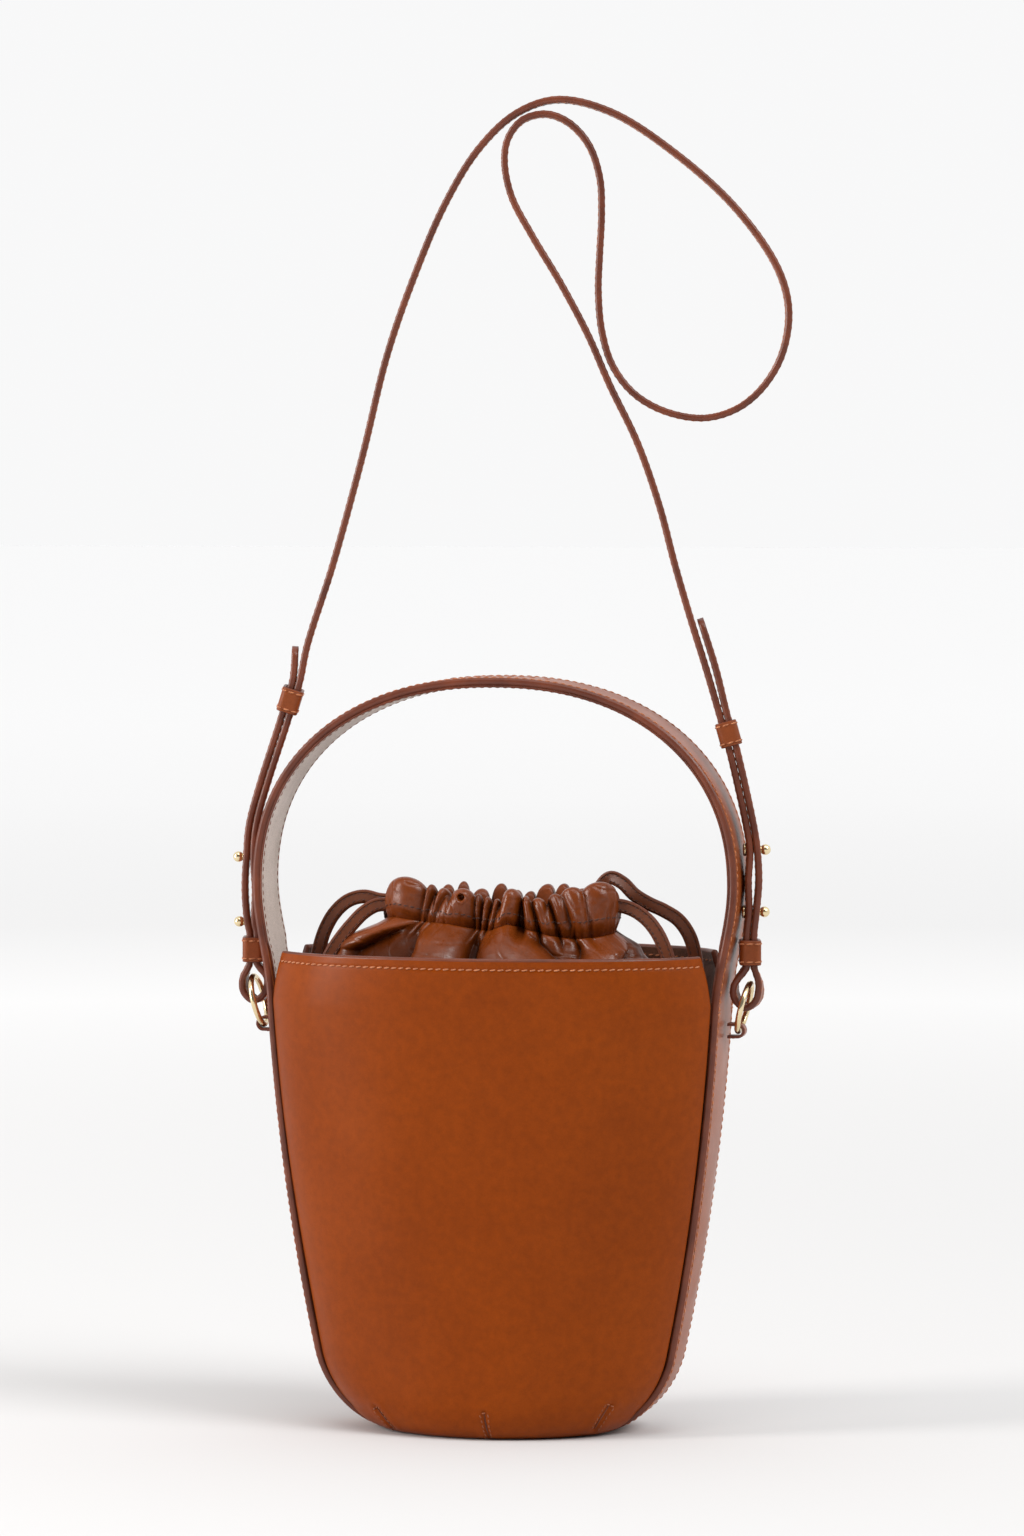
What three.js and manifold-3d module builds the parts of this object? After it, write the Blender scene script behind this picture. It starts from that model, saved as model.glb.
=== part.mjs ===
// A leather bucket bag: two curved panels joined by a side band that runs up into an arched handle,
// a drawstring pouch rising from inside, and a long flat shoulder strap looped through two metal rings.
// Millimetres. +X is the bag's left-to-right width, -Y is its front, +Z is up, and it stands on z = 0.

import * as THREE from 'three';
import * as BufferGeometryUtils from 'three/addons/utils/BufferGeometryUtils.js';
import Module from 'manifold-3d';

// ---------------------------------------------------------------- driving dimensions

const leather = 2.0; // outer leather
const liningLeather = 1.0;
const gap = 0.3; // between touching pieces

const rimHeight = 208;
const rimHalfWidth = 94.5;
const jointHeight = 187; // where the panels part from the side band
const footHalfWidth = 44; // flat stretch of the foot, at the band
const cornerRise = 34; // height of the band's rounded lower corner
const cornerInset = 28.3;

const footHalfDepth = 38;
const footRise = 16; // height of the rolled edge between foot and wall
const footInset = 10;
const wallDepthLow = 48;
const wallDepthHigh = 60;
const panelEndAngle = THREE.MathUtils.degToRad(20);
const panelColumns = 16;
const endClearance = 0.6; // more room where a panel's end is turned in beside the band

const gussetHalfLow = 14;
const gussetHalfHigh = 20.5;
const gussetBulge = 2;
const bandProud = 2.6; // how far the band's edge stands out beside a panel
const stripHalfLength = 40;

const archHalfWidth = 107;
const archBase = 238;
const archHeight = 90.2;
const archPower = 2.2;
const archSteps = 14;
const handleHalfLow = 20;
const handleHalfHigh = 17;
const handleStart = 190;
const handleLining = 1.5;

const ringCentre = [107.9, 185.5];
const ringRadius = 10.7;
const ringWire = 1.3;
const ringTilt = THREE.MathUtils.degToRad(14);
const tabWidth = 7;
const tabLeather = 1.2;
const tabEye = 2.0;

const strapWidth = 11.5;
const strapThickness = 2.8;
const strandPitch = 3.2; // centre to centre of the doubled strap
const strapTurn = THREE.MathUtils.degToRad(11); // how far the strap turns about Z above the rings
const strapTurnSpan = [190, 202]; // heights between which it turns
const strapStep = 3; // steps between two points of the strap's route

const keeperHeight = 11;
const keeperWall = 1.3;
const keeperClearance = 0.3;
const keeperSideClearance = 0.7;

const studNeck = 1.1;
const studBall = 2.2;
const studBase = 2.8;
const studHoleReach = 7; // how far each stud's hole is cut to either side of the strap's middle
const baseFace = -1.6; // the screw's flat outer face, behind the strap

const pouchLeather = 1.4;
const collarLow = 219;
const collarHigh = 238;
const laceWidth = 6.4;
const laceThickness = 1.8;
const laceHeight = 229;

// ---------------------------------------------------------------- materials

function leatherMaterial(color, roughness) {
  return new THREE.MeshStandardMaterial({ color, roughness, metalness: 0 });
}

const panelMaterial = leatherMaterial(0x96482a, 0.5);
const bandMaterial = leatherMaterial(0x8a4028, 0.5);
const liningMaterial = leatherMaterial(0x5a3420, 0.9);
const pouchMaterial = leatherMaterial(0x6b3216, 0.6);
const boardMaterial = leatherMaterial(0x3a3a3a, 0.9);
const goldMaterial = new THREE.MeshStandardMaterial({ color: 0xd8b878, roughness: 0.25, metalness: 1 });

// ---------------------------------------------------------------- mesh helpers

const wasm = await Module();
wasm.setup();

const bag = new THREE.Group();

function add(name, geometry, material) {
  const mesh = new THREE.Mesh(geometry, material);
  mesh.name = name;
  bag.add(mesh);
  return mesh;
}

// Turns every face over when the body's signed volume comes out negative.
function facingOut(points, index) {
  let volume = 0;
  for (let i = 0; i < index.length; i += 3) {
    const a = points[index[i]];
    const b = points[index[i + 1]];
    const c = points[index[i + 2]];
    volume += a.dot(new THREE.Vector3().crossVectors(b, c));
  }
  return volume < 0 ? index.reverse() : index;
}

function bodyFrom(points, index) {
  const geometry = new THREE.BufferGeometry();
  geometry.setFromPoints(points);
  geometry.setIndex(facingOut(points, index));
  return geometry;
}

// A closed body between two matching grids of points, the two faces of one sheet.
function sheetBody(face, back) {
  const rows = face.length;
  const columns = face[0].length;
  const index = [];
  const at = (layer, row, column) => (layer * rows + row) * columns + column;
  const quad = (a, b, c, d) => index.push(a, b, c, a, c, d);
  for (let row = 0; row < rows - 1; row += 1) {
    for (let column = 0; column < columns - 1; column += 1) {
      quad(at(0, row, column), at(0, row, column + 1), at(0, row + 1, column + 1), at(0, row + 1, column));
      quad(at(1, row, column), at(1, row + 1, column), at(1, row + 1, column + 1), at(1, row, column + 1));
    }
    const last = columns - 1;
    quad(at(0, row, 0), at(0, row + 1, 0), at(1, row + 1, 0), at(1, row, 0));
    quad(at(0, row, last), at(1, row, last), at(1, row + 1, last), at(0, row + 1, last));
  }
  for (let column = 0; column < columns - 1; column += 1) {
    const last = rows - 1;
    quad(at(0, 0, column), at(1, 0, column), at(1, 0, column + 1), at(0, 0, column + 1));
    quad(at(0, last, column), at(0, last, column + 1), at(1, last, column + 1), at(1, last, column));
  }
  return bodyFrom([...face.flat(), ...back.flat()], index);
}

// A closed body between an outer and an inner stack of loops, open at its top and bottom.
function sleeveBody(outer, inner) {
  const loops = [...outer, ...[...inner].reverse()];
  const count = loops[0].length;
  const index = [];
  for (let level = 0; level < loops.length; level += 1) {
    const next = (level + 1) % loops.length;
    for (let i = 0; i < count; i += 1) {
      const j = (i + 1) % count;
      const a = level * count + i;
      const b = level * count + j;
      const c = next * count + j;
      const d = next * count + i;
      index.push(a, b, c, a, c, d);
    }
  }
  return bodyFrom(loops.flat(), index);
}

// A section carried along a line of points, with both ends closed.
// Each section point is [along the width, along the thickness].
function sweptBody(centres, widths, section) {
  const points = [];
  const index = [];
  const count = section.length;
  centres.forEach((centre, i) => {
    const before = centres[Math.max(i - 1, 0)];
    const after = centres[Math.min(i + 1, centres.length - 1)];
    const along = new THREE.Vector3().subVectors(after, before).normalize();
    const thick = new THREE.Vector3().crossVectors(along, widths[i]).normalize();
    const wide = new THREE.Vector3().crossVectors(thick, along);
    for (const [w, t] of section) {
      points.push(centre.clone().addScaledVector(wide, w).addScaledVector(thick, t));
    }
  });
  for (let i = 0; i < centres.length - 1; i += 1) {
    for (let j = 0; j < count; j += 1) {
      const k = (j + 1) % count;
      const a = i * count + j;
      const b = i * count + k;
      index.push(a, b, b + count, a, b + count, a + count);
    }
  }
  const last = (centres.length - 1) * count;
  for (let j = 1; j < count - 1; j += 1) {
    index.push(0, j + 1, j, last, last + j, last + j + 1);
  }
  return bodyFrom(points, index);
}

// Moves each point of a grid inward, at right angles to the grid. inside is a point within the bag.
function insetGrid(grid, distance, inside) {
  return grid.map((row, r) => row.map((point, c) => {
    const down = grid[Math.max(r - 1, 0)][c];
    const up = grid[Math.min(r + 1, grid.length - 1)][c];
    const left = row[Math.max(c - 1, 0)];
    const right = row[Math.min(c + 1, row.length - 1)];
    const across = new THREE.Vector3().subVectors(right, left);
    const rise = new THREE.Vector3().subVectors(up, down);
    const normal = new THREE.Vector3().crossVectors(across, rise).normalize();
    const side = Math.sign(normal.dot(new THREE.Vector3().subVectors(inside, point)));
    return point.clone().addScaledVector(normal, distance * side);
  }));
}

function manifoldOf(geometry) {
  const plain = geometry.clone();
  plain.deleteAttribute('normal');
  plain.deleteAttribute('uv');
  const merged = BufferGeometryUtils.mergeVertices(plain);
  return new wasm.Manifold(new wasm.Mesh({
    numProp: 3,
    vertProperties: new Float32Array(merged.attributes.position.array),
    triVerts: new Uint32Array(merged.index.array),
  }));
}

function cut(geometry, cutters) {
  let body = manifoldOf(geometry);
  for (const cutter of cutters) {
    body = body.subtract(manifoldOf(cutter));
  }
  const mesh = body.getMesh();
  const result = new THREE.BufferGeometry();
  result.setAttribute('position', new THREE.BufferAttribute(mesh.vertProperties, 3));
  result.setIndex(new THREE.BufferAttribute(mesh.triVerts, 1));
  return result;
}

function cylinderAlongX(radius, fromX, toX, z) {
  const length = Math.abs(toX - fromX);
  const cylinder = new THREE.CylinderGeometry(radius, radius, length, 12);
  cylinder.rotateZ(Math.PI / 2);
  return cylinder.translate((fromX + toX) / 2, 0, z);
}

// ---------------------------------------------------------------- the band's outline, seen from the front

function sideLine(z) {
  return 72.3 + 0.231 * z - 0.00045 * z * z;
}

// Half-width of the band's outer face at a height.
function bandX(z) {
  if (z <= jointHeight) {
    const turn = Math.max(1 - z / cornerRise, 0);
    return sideLine(z) - cornerInset * (1 - Math.sqrt(1 - turn * turn));
  }
  const t = (z - jointHeight) / (archBase - jointHeight);
  const spread = archHalfWidth - sideLine(jointHeight);
  const startSlope = 3.2;
  return sideLine(jointHeight) + (t ** 3 - 2 * t ** 2 + t) * startSlope + (3 * t ** 2 - 2 * t ** 3) * spread;
}

function gussetHalf(z) {
  return THREE.MathUtils.lerp(gussetHalfLow, gussetHalfHigh, Math.min(z / jointHeight, 1));
}

// Half-depth of a panel at its middle.
function wallDepth(z) {
  const wall = THREE.MathUtils.lerp(wallDepthLow, wallDepthHigh, z / rimHeight);
  const turn = Math.max(1 - z / footRise, 0);
  return wall - footInset * (1 - Math.sqrt(1 - turn * turn));
}

// ---------------------------------------------------------------- panels, gussets and their linings

const wallLevels = [0, 1.2, 4, 9, 18, 34, 60, 101, 145, jointHeight];
const liningFrom = 9;
const bagMiddle = new THREE.Vector3(0, 0, 100);

// One row of a panel, from the right end to the left end.
function panelRow(endX, endY, depth, z) {
  const row = [];
  for (let i = 0; i <= panelColumns; i += 1) {
    const angle = THREE.MathUtils.lerp(panelEndAngle, Math.PI - panelEndAngle, i / panelColumns);
    const bow = (Math.sin(angle) - Math.sin(panelEndAngle)) / (1 - Math.sin(panelEndAngle));
    const x = endX * Math.cos(angle) / Math.cos(panelEndAngle);
    row.push(new THREE.Vector3(x, -(endY + (depth - endY) * bow), z));
  }
  return row;
}

// The front panel's outer face: two rows on the flat foot, then the wall up to the rim.
function panelFace(fromLevel) {
  const rows = [];
  if (fromLevel === 0) {
    for (const reach of [0, 0.5]) {
      const endX = THREE.MathUtils.lerp(stripHalfLength - 4, footHalfWidth, reach);
      const endY = gussetHalfLow + gap;
      rows.push(panelRow(endX, endY, THREE.MathUtils.lerp(endY, footHalfDepth, reach), 0));
    }
  }
  for (const z of wallLevels.filter((level) => level >= fromLevel)) {
    const raised = Math.min(z / 10, 1);
    const endX = bandX(z) - bandProud * raised;
    rows.push(panelRow(endX, gussetHalf(z) + gap + endClearance * raised, wallDepth(z), z));
  }
  rows.push(panelRow(rimHalfWidth + 2, gussetHalfHigh + gap + endClearance, wallDepth(198), 198));
  rows.push(panelRow(rimHalfWidth, gussetHalfHigh + gap + endClearance, wallDepthHigh, rimHeight));
  return rows;
}

function mirrored(grid, axis) {
  const flip = (point) => (axis === 'x'
    ? new THREE.Vector3(-point.x, point.y, point.z)
    : new THREE.Vector3(point.x, -point.y, point.z));
  return grid.map((row) => row.map(flip));
}

const frontFace = panelFace(0);
const frontBack = insetGrid(frontFace, leather, bagMiddle);
add('front_panel', sheetBody(frontFace, frontBack), panelMaterial);
add('back_panel', sheetBody(mirrored(frontFace, 'y'), mirrored(frontBack, 'y')), panelMaterial);

const liningGrid = panelFace(liningFrom);
const liningFace = insetGrid(liningGrid, leather + gap, bagMiddle);
const liningBack = insetGrid(liningGrid, leather + gap + liningLeather, bagMiddle);
add('lining_front', sheetBody(liningFace, liningBack), liningMaterial);
add('lining_back', sheetBody(mirrored(liningFace, 'y'), mirrored(liningBack, 'y')), liningMaterial);

// A side strip's outer face, from its lowest level upward, four columns wide.
function gussetFace(levels, narrower) {
  return levels.map(([x, z]) => {
    const half = gussetHalf(z) - narrower;
    const bulge = gussetBulge * Math.sin(Math.PI * Math.min(z / jointHeight, 1));
    const row = [];
    for (let i = 0; i <= 4; i += 1) {
      const across = i / 2 - 1;
      row.push(new THREE.Vector3(x + bulge * (1 - across * across), half * across, z));
    }
    return row;
  });
}

const gussetLevels = [[stripHalfLength + gap / 2, 0], ...wallLevels.map((z) => [bandX(z), z])];
gussetLevels.push([bandX(handleStart - gap / 2), handleStart - gap / 2]);
const gussetGrid = gussetFace(gussetLevels, 0);
const gussetBack = insetGrid(gussetGrid, leather, bagMiddle);

const sideLiningLevels = [9, 18, 34, 60, 101, 145, 170].map((z) => [bandX(z), z]);
const sideLiningGrid = gussetFace(sideLiningLevels, 3.5);
const sideLiningFace = insetGrid(sideLiningGrid, leather + 2 * gap, bagMiddle);
const sideLiningBack = insetGrid(sideLiningGrid, leather + 2 * gap + liningLeather, bagMiddle);

add('gusset_right', sheetBody(gussetGrid, gussetBack), bandMaterial);
add('gusset_left', sheetBody(mirrored(gussetGrid, 'x'), mirrored(gussetBack, 'x')), bandMaterial);
add('lining_right', sheetBody(sideLiningFace, sideLiningBack), liningMaterial);
add('lining_left', sheetBody(mirrored(sideLiningFace, 'x'), mirrored(sideLiningBack, 'x')), liningMaterial);

// ---------------------------------------------------------------- foot

function ovalPlate(halfWidth, halfDepth, thickness) {
  const outline = new THREE.Shape();
  outline.absellipse(0, 0, halfWidth, halfDepth, 0, Math.PI * 2);
  return new THREE.ExtrudeGeometry(outline, { depth: thickness, bevelEnabled: false, curveSegments: 16 });
}

const strip = new THREE.BoxGeometry(2 * stripHalfLength - gap, 2 * gussetHalfLow, leather);
const boardThickness = 2;
add('base_strip', strip, bandMaterial).position.z = leather / 2;
add('base_board', ovalPlate(40, 33, boardThickness), boardMaterial).position.z = leather + gap;
const baseLining = add('base_lining', ovalPlate(45, 37, liningLeather), liningMaterial);
baseLining.position.z = leather + boardThickness + 2 * gap;

// ---------------------------------------------------------------- handle

// The band's outer line from a starting height on the right, over the arch, to the left.
function archLine(startHeight) {
  const half = [];
  for (const z of [startHeight, 196, 204, 212, 220, 229]) {
    half.push([bandX(z), z]);
  }
  for (let i = 0; i <= archSteps; i += 1) {
    const angle = (Math.PI / 2) * (i / archSteps);
    const x = archHalfWidth * Math.cos(angle) ** (2 / archPower);
    half.push([i === archSteps ? 0 : x, archBase + archHeight * Math.sin(angle) ** (2 / archPower)]);
  }
  const other = half.slice(0, -1).reverse().map(([x, z]) => [-x, z]);
  return [...half, ...other];
}

function handleHalf(z) {
  return THREE.MathUtils.lerp(handleHalfLow, handleHalfHigh, Math.min((z - jointHeight) / 51, 1));
}

// The part of the handle's lining that lies inside the rim is narrower, to pass between the panels.
function handleLiningHalf(z) {
  return Math.min(handleHalf(z), Math.max(16, 16 + (z - rimHeight) * 0.5));
}

function handleFace(line, halfAt) {
  return line.map(([x, z]) => [-1, 1].map((side) => new THREE.Vector3(x, side * halfAt(z), z)));
}

const underArch = new THREE.Vector3(0, 0, 220);
const handleGrid = handleFace(archLine(handleStart + gap / 2), handleHalf);
add('handle_outer', sheetBody(handleGrid, insetGrid(handleGrid, leather, underArch)), bandMaterial);
const handleLiningGrid = handleFace(archLine(174), handleLiningHalf);
const handleLiningFace = insetGrid(handleLiningGrid, leather + gap, underArch);
const handleLiningBack = insetGrid(handleLiningGrid, leather + gap + handleLining, underArch);
add('handle_lining', sheetBody(handleLiningFace, handleLiningBack), bandMaterial);

// ---------------------------------------------------------------- rings and their leather tabs

// The strip of the tab is a loop in the X-Z plane. Its inner end lies against the gusset.
function tabShape() {
  const innerX = bandX(175) + gap;
  const halfHeight = tabEye + tabLeather;
  const outerX = ringCentre[0] - ringRadius * Math.sin(ringTilt) + halfHeight;
  const middleZ = ringCentre[1] - ringRadius * Math.cos(ringTilt) + gap;
  const shape = new THREE.Shape();
  shape.moveTo(innerX, middleZ - halfHeight);
  shape.lineTo(outerX - halfHeight, middleZ - halfHeight);
  shape.absarc(outerX - halfHeight, middleZ, halfHeight, -Math.PI / 2, Math.PI / 2, false);
  shape.lineTo(innerX + 0.35, middleZ + halfHeight);
  const eye = new THREE.Path();
  eye.absarc(outerX - halfHeight, middleZ, tabEye, 0, Math.PI * 2, true);
  shape.holes.push(eye);
  return shape;
}

function ringTab() {
  const extrusion = { depth: tabWidth, bevelEnabled: false, curveSegments: 8 };
  const body = new THREE.ExtrudeGeometry(tabShape(), extrusion);
  body.rotateX(Math.PI / 2);
  return body.translate(0, tabWidth / 2, 0);
}

function ring() {
  const body = new THREE.TorusGeometry(ringRadius, ringWire, 8, 28);
  body.rotateY(Math.PI / 2 + ringTilt);
  return body.translate(ringCentre[0], 0, ringCentre[1]);
}

for (const [side, turn] of [['right', 0], ['left', Math.PI]]) {
  add(`ring_tab_${side}`, ringTab(), bandMaterial).rotation.z = turn;
  add(`ring_${side}`, ring(), goldMaterial).rotation.z = turn;
}

// ---------------------------------------------------------------- shoulder strap

const stackMiddle = 110.4; // middle of the doubled strap above the ring
const ringStrands = {
  left: [[stackMiddle + strandPitch / 2, 202.1], [114.6, 195.4], [113.7, 189.0],
    [stackMiddle - 1.1, 185.5], [104.4, 189.0], [103.6, 195.4], [stackMiddle - strandPitch / 2, 202.1]],
  right: [[stackMiddle + strandPitch / 2, 203.5], [114.5, 195.5], [113.7, 189.0],
    [stackMiddle - 1.1, 185.5], [104.5, 189.0], [103.8, 195.5], [stackMiddle - strandPitch / 2, 203.5]],
};
const lowerKeeperHeights = { left: 208, right: 209.5 };
const parallelTops = { left: 215.5, right: 217.5 };
const studHeights = { left: [220, 248.5], right: [227, 254] };
const studMiddles = [111.4, 111.8]; // middle of the doubled strap at the lower and the upper stud
const strandsApart = 4.6; // the strap's two layers bow apart between the studs
const upperKeepers = {
  left: { x: -93.6, z: 317.5, lean: new THREE.Vector3(0.3, 0, 0.954).normalize() },
  right: { x: 100.8, z: 304, lean: new THREE.Vector3(-0.27, 0, 0.963).normalize() },
};

// One layer of the doubled strap from the ring's loop up to above its upper keeper.
// layer is +1 for the outer layer, which ends in the tail, and -1 for the inner one.
function doubledLayer(side, layer) {
  const sign = side === 'right' ? 1 : -1;
  const off = layer * strandPitch / 2;
  const [lowStud, highStud] = studHeights[side];
  const between = (lowStud + highStud) / 2;
  const points = [[stackMiddle + off, lowerKeeperHeights[side]], [stackMiddle + off, parallelTops[side]],
    [studMiddles[0] + off, lowStud], [111.8 + layer * strandsApart / 2, between],
    [studMiddles[1] + off, highStud], [110.3 + off, 264]].map(([x, z]) => [sign * x, z]);
  const keeper = upperKeepers[side];
  const lean = keeper.lean;
  const outX = sign * Math.abs(lean.z);
  const outZ = sign * -lean.x;
  for (const along of [-9, 0, 9]) {
    points.push([keeper.x + outX * off + lean.x * along, keeper.z + outZ * off + lean.z * along]);
  }
  return points;
}

const tails = { left: [[-91.3, 341]], right: [[95.2, 332], [88.2, 354]] };

// The free strap from above the left keeper, up over the two loops and down to above the right keeper.
const freeStrap = [[-86, 341.5], [-74.4, 377], [-61, 425], [-50.2, 468], [-38.6, 501], [-24.2, 534],
  [-9.4, 557.5], [7, 572.5], [25, 578.4], [48.5, 573], [77.5, 554.5], [104.5, 530], [122.4, 504],
  [126.8, 486], [123.5, 467], [114.8, 453], [103.8, 444.4], [89.7, 440.6], [72.5, 443.6],
  [58.8, 451.5], [49.6, 463.5], [45, 478], [43.4, 495], [44, 512], [44.8, 529], [44, 544.5],
  [39, 559], [30, 568.6], [20, 572.2], [9.8, 569.6], [3.6, 562], [2, 552], [5, 537], [14, 520],
  [26.8, 499], [38.9, 476.5], [48.4, 455], [60.6, 430], [70.2, 403], [77.2, 377], [84, 354],
  [90.8, 332.5]];

function strapRoute() {
  const leftLoop = ringStrands.left.map(([x, z]) => [-x, z]);
  const rightLoop = [...ringStrands.right].reverse();
  return [...[...tails.left].reverse(), ...doubledLayer('left', 1).reverse(), ...leftLoop,
    ...doubledLayer('left', -1), ...freeStrap, ...doubledLayer('right', -1).reverse(), ...rightLoop,
    ...doubledLayer('right', 1), ...tails.right];
}

// The width runs along Y in the rings and turns a little about Z just above them.
function strapWidthAt(z) {
  const turn = strapTurn * THREE.MathUtils.smoothstep(z, ...strapTurnSpan);
  return new THREE.Vector3(Math.sin(turn), -Math.cos(turn), 0);
}

function smoothRoute(points, stepsEach) {
  const spots = points.map(([x, z]) => new THREE.Vector3(x, 0, z));
  const curve = new THREE.CatmullRomCurve3(spots, false, 'centripetal');
  return curve.getPoints((points.length - 1) * stepsEach);
}

const strapCentres = smoothRoute(strapRoute(), strapStep);
const halfWide = strapWidth / 2;
const halfThick = strapThickness / 2;
const strapSection = [[-halfWide, -halfThick], [halfWide, -halfThick],
  [halfWide, halfThick], [-halfWide, halfThick]];
const plainStrap = sweptBody(strapCentres, strapCentres.map((point) => strapWidthAt(point.z)), strapSection);

const studs = [];
for (const [side, sign] of [['left', -1], ['right', 1]]) {
  ['lower', 'upper'].forEach((place, i) => {
    studs.push({ side, place, sign, x: studMiddles[i], z: studHeights[side][i] });
  });
}
const studHoles = studs.map((stud) => {
  const hole = cylinderAlongX(studNeck + gap, -studHoleReach, studHoleReach, 0);
  return hole.rotateZ(strapTurn).translate(stud.sign * stud.x, 0, stud.z);
});
add('shoulder_strap', cut(plainStrap, studHoles), bandMaterial);

// ---------------------------------------------------------------- ball studs that button the strap's ends

// Profile of the ball and its neck, [radius, distance out from the inner face of the strap].
function studProfile(stack) {
  const ballMiddle = stack + gap + studBall * 0.85;
  const profile = [new THREE.Vector2(0, gap), new THREE.Vector2(studNeck, gap)];
  for (let i = 0; i <= 7; i += 1) {
    const angle = THREE.MathUtils.lerp(THREE.MathUtils.degToRad(-60), Math.PI / 2, i / 7);
    const radius = i === 7 ? 0 : studBall * Math.cos(angle);
    profile.push(new THREE.Vector2(radius, ballMiddle + studBall * Math.sin(angle)));
  }
  return profile;
}

// Lays a lathed body along the strap's thickness, with its start at the inner face of the doubled strap.
function throughStrap(geometry, stud, start) {
  geometry.rotateZ(-stud.sign * Math.PI / 2);
  geometry.translate(stud.sign * start, 0, 0);
  return geometry.rotateZ(strapTurn).translate(stud.sign * stud.x, 0, stud.z);
}

for (const stud of studs) {
  const stack = strandPitch + strapThickness;
  const name = `${stud.side}_${stud.place}`;
  const ball = throughStrap(new THREE.LatheGeometry(studProfile(stack), 12), stud, -stack / 2 - gap);
  add(`stud_${name}`, ball, goldMaterial);
  const screw = [[0, baseFace], [studBase * 0.6, baseFace], [studBase, baseFace + gap], [studBase, -2.5 * gap],
    [0, -2.5 * gap]];
  const baseProfile = screw.map(([radius, out]) => new THREE.Vector2(radius, out));
  const base = throughStrap(new THREE.LatheGeometry(baseProfile, 12), stud, -stack / 2);
  add(`stud_base_${name}`, base, goldMaterial);
}

// ---------------------------------------------------------------- keepers around the doubled strap

function rectangle(halfX, halfY, corner) {
  const points = [];
  for (const [signX, signY] of [[1, -1], [1, 1], [-1, 1], [-1, -1]]) {
    const onEnd = new THREE.Vector2(signX * halfX, signY * (halfY - corner));
    const onSide = new THREE.Vector2(signX * (halfX - corner), signY * halfY);
    points.push(...(signX === signY ? [onEnd, onSide] : [onSide, onEnd]));
  }
  return points;
}

function keeper() {
  const holeX = (strandPitch + strapThickness) / 2 + keeperClearance;
  const holeY = strapWidth / 2 + keeperSideClearance;
  const outline = new THREE.Shape(rectangle(holeX + keeperWall, holeY + keeperWall, keeperWall * 0.7));
  outline.holes.push(new THREE.Path(rectangle(holeX, holeY, keeperClearance / 2)));
  const body = new THREE.ExtrudeGeometry(outline, { depth: keeperHeight, bevelEnabled: false });
  return body.translate(0, 0, -keeperHeight / 2);
}

// Turns a keeper so that its height runs along the strap and its sides along the strap's faces.
function keeperTurn(lean) {
  const wide = new THREE.Vector3(-Math.sin(strapTurn), Math.cos(strapTurn), 0);
  wide.addScaledVector(lean, -wide.dot(lean)).normalize();
  const thick = new THREE.Vector3().crossVectors(wide, lean);
  const turned = new THREE.Matrix4().makeBasis(thick, wide, lean);
  return new THREE.Quaternion().setFromRotationMatrix(turned);
}

for (const [side, sign] of [['left', -1], ['right', 1]]) {
  const lower = add(`keeper_${side}_lower`, keeper(), bandMaterial);
  lower.position.set(sign * stackMiddle, 0, lowerKeeperHeights[side]);
  lower.quaternion.copy(keeperTurn(new THREE.Vector3(0, 0, 1)));
  const place = upperKeepers[side];
  const upper = add(`keeper_${side}_upper`, keeper(), bandMaterial);
  upper.position.set(place.x, 0, place.z);
  upper.quaternion.copy(keeperTurn(place.lean));
}

// ---------------------------------------------------------------- drawstring pouch

function ovalLoop(halfWidth, halfDepth, z) {
  const loop = [];
  const count = 32;
  for (let i = 0; i < count; i += 1) {
    const angle = (i / count) * Math.PI * 2;
    loop.push(new THREE.Vector3(halfWidth * Math.cos(angle), halfDepth * Math.sin(angle), z));
  }
  return loop;
}

function ovalSleeve(levels, wall) {
  const outer = levels.map(([x, y, z]) => ovalLoop(x, y, z));
  const inner = levels.map(([x, y, z]) => ovalLoop(x - wall, y - wall, z));
  return sleeveBody(outer, inner);
}

const pouchLevels = [[89.5, 50, 150], [84, 45, 165], [76, 38, 190], [70, 31, 203], [64, 23, 212],
  [54, 15, collarLow - gap]];
add('pouch_body', ovalSleeve(pouchLevels, pouchLeather), pouchMaterial);

const collarWall = 6.5;
const collarLevels = [[53, 14.5, collarLow], [54.5, 15.5, 224], [54.5, 15.5, 233], [52.5, 13.5, collarHigh]];
const laceMouth = new THREE.BoxGeometry(20, 9, laceWidth + 2.8);
const laceMouths = [-55.5, 55.5].map((x) => laceMouth.clone().translate(x, 0, laceHeight));
add('pouch_collar', cut(ovalSleeve(collarLevels, collarWall), laceMouths), pouchMaterial);

// ---------------------------------------------------------------- drawstring laces

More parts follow.
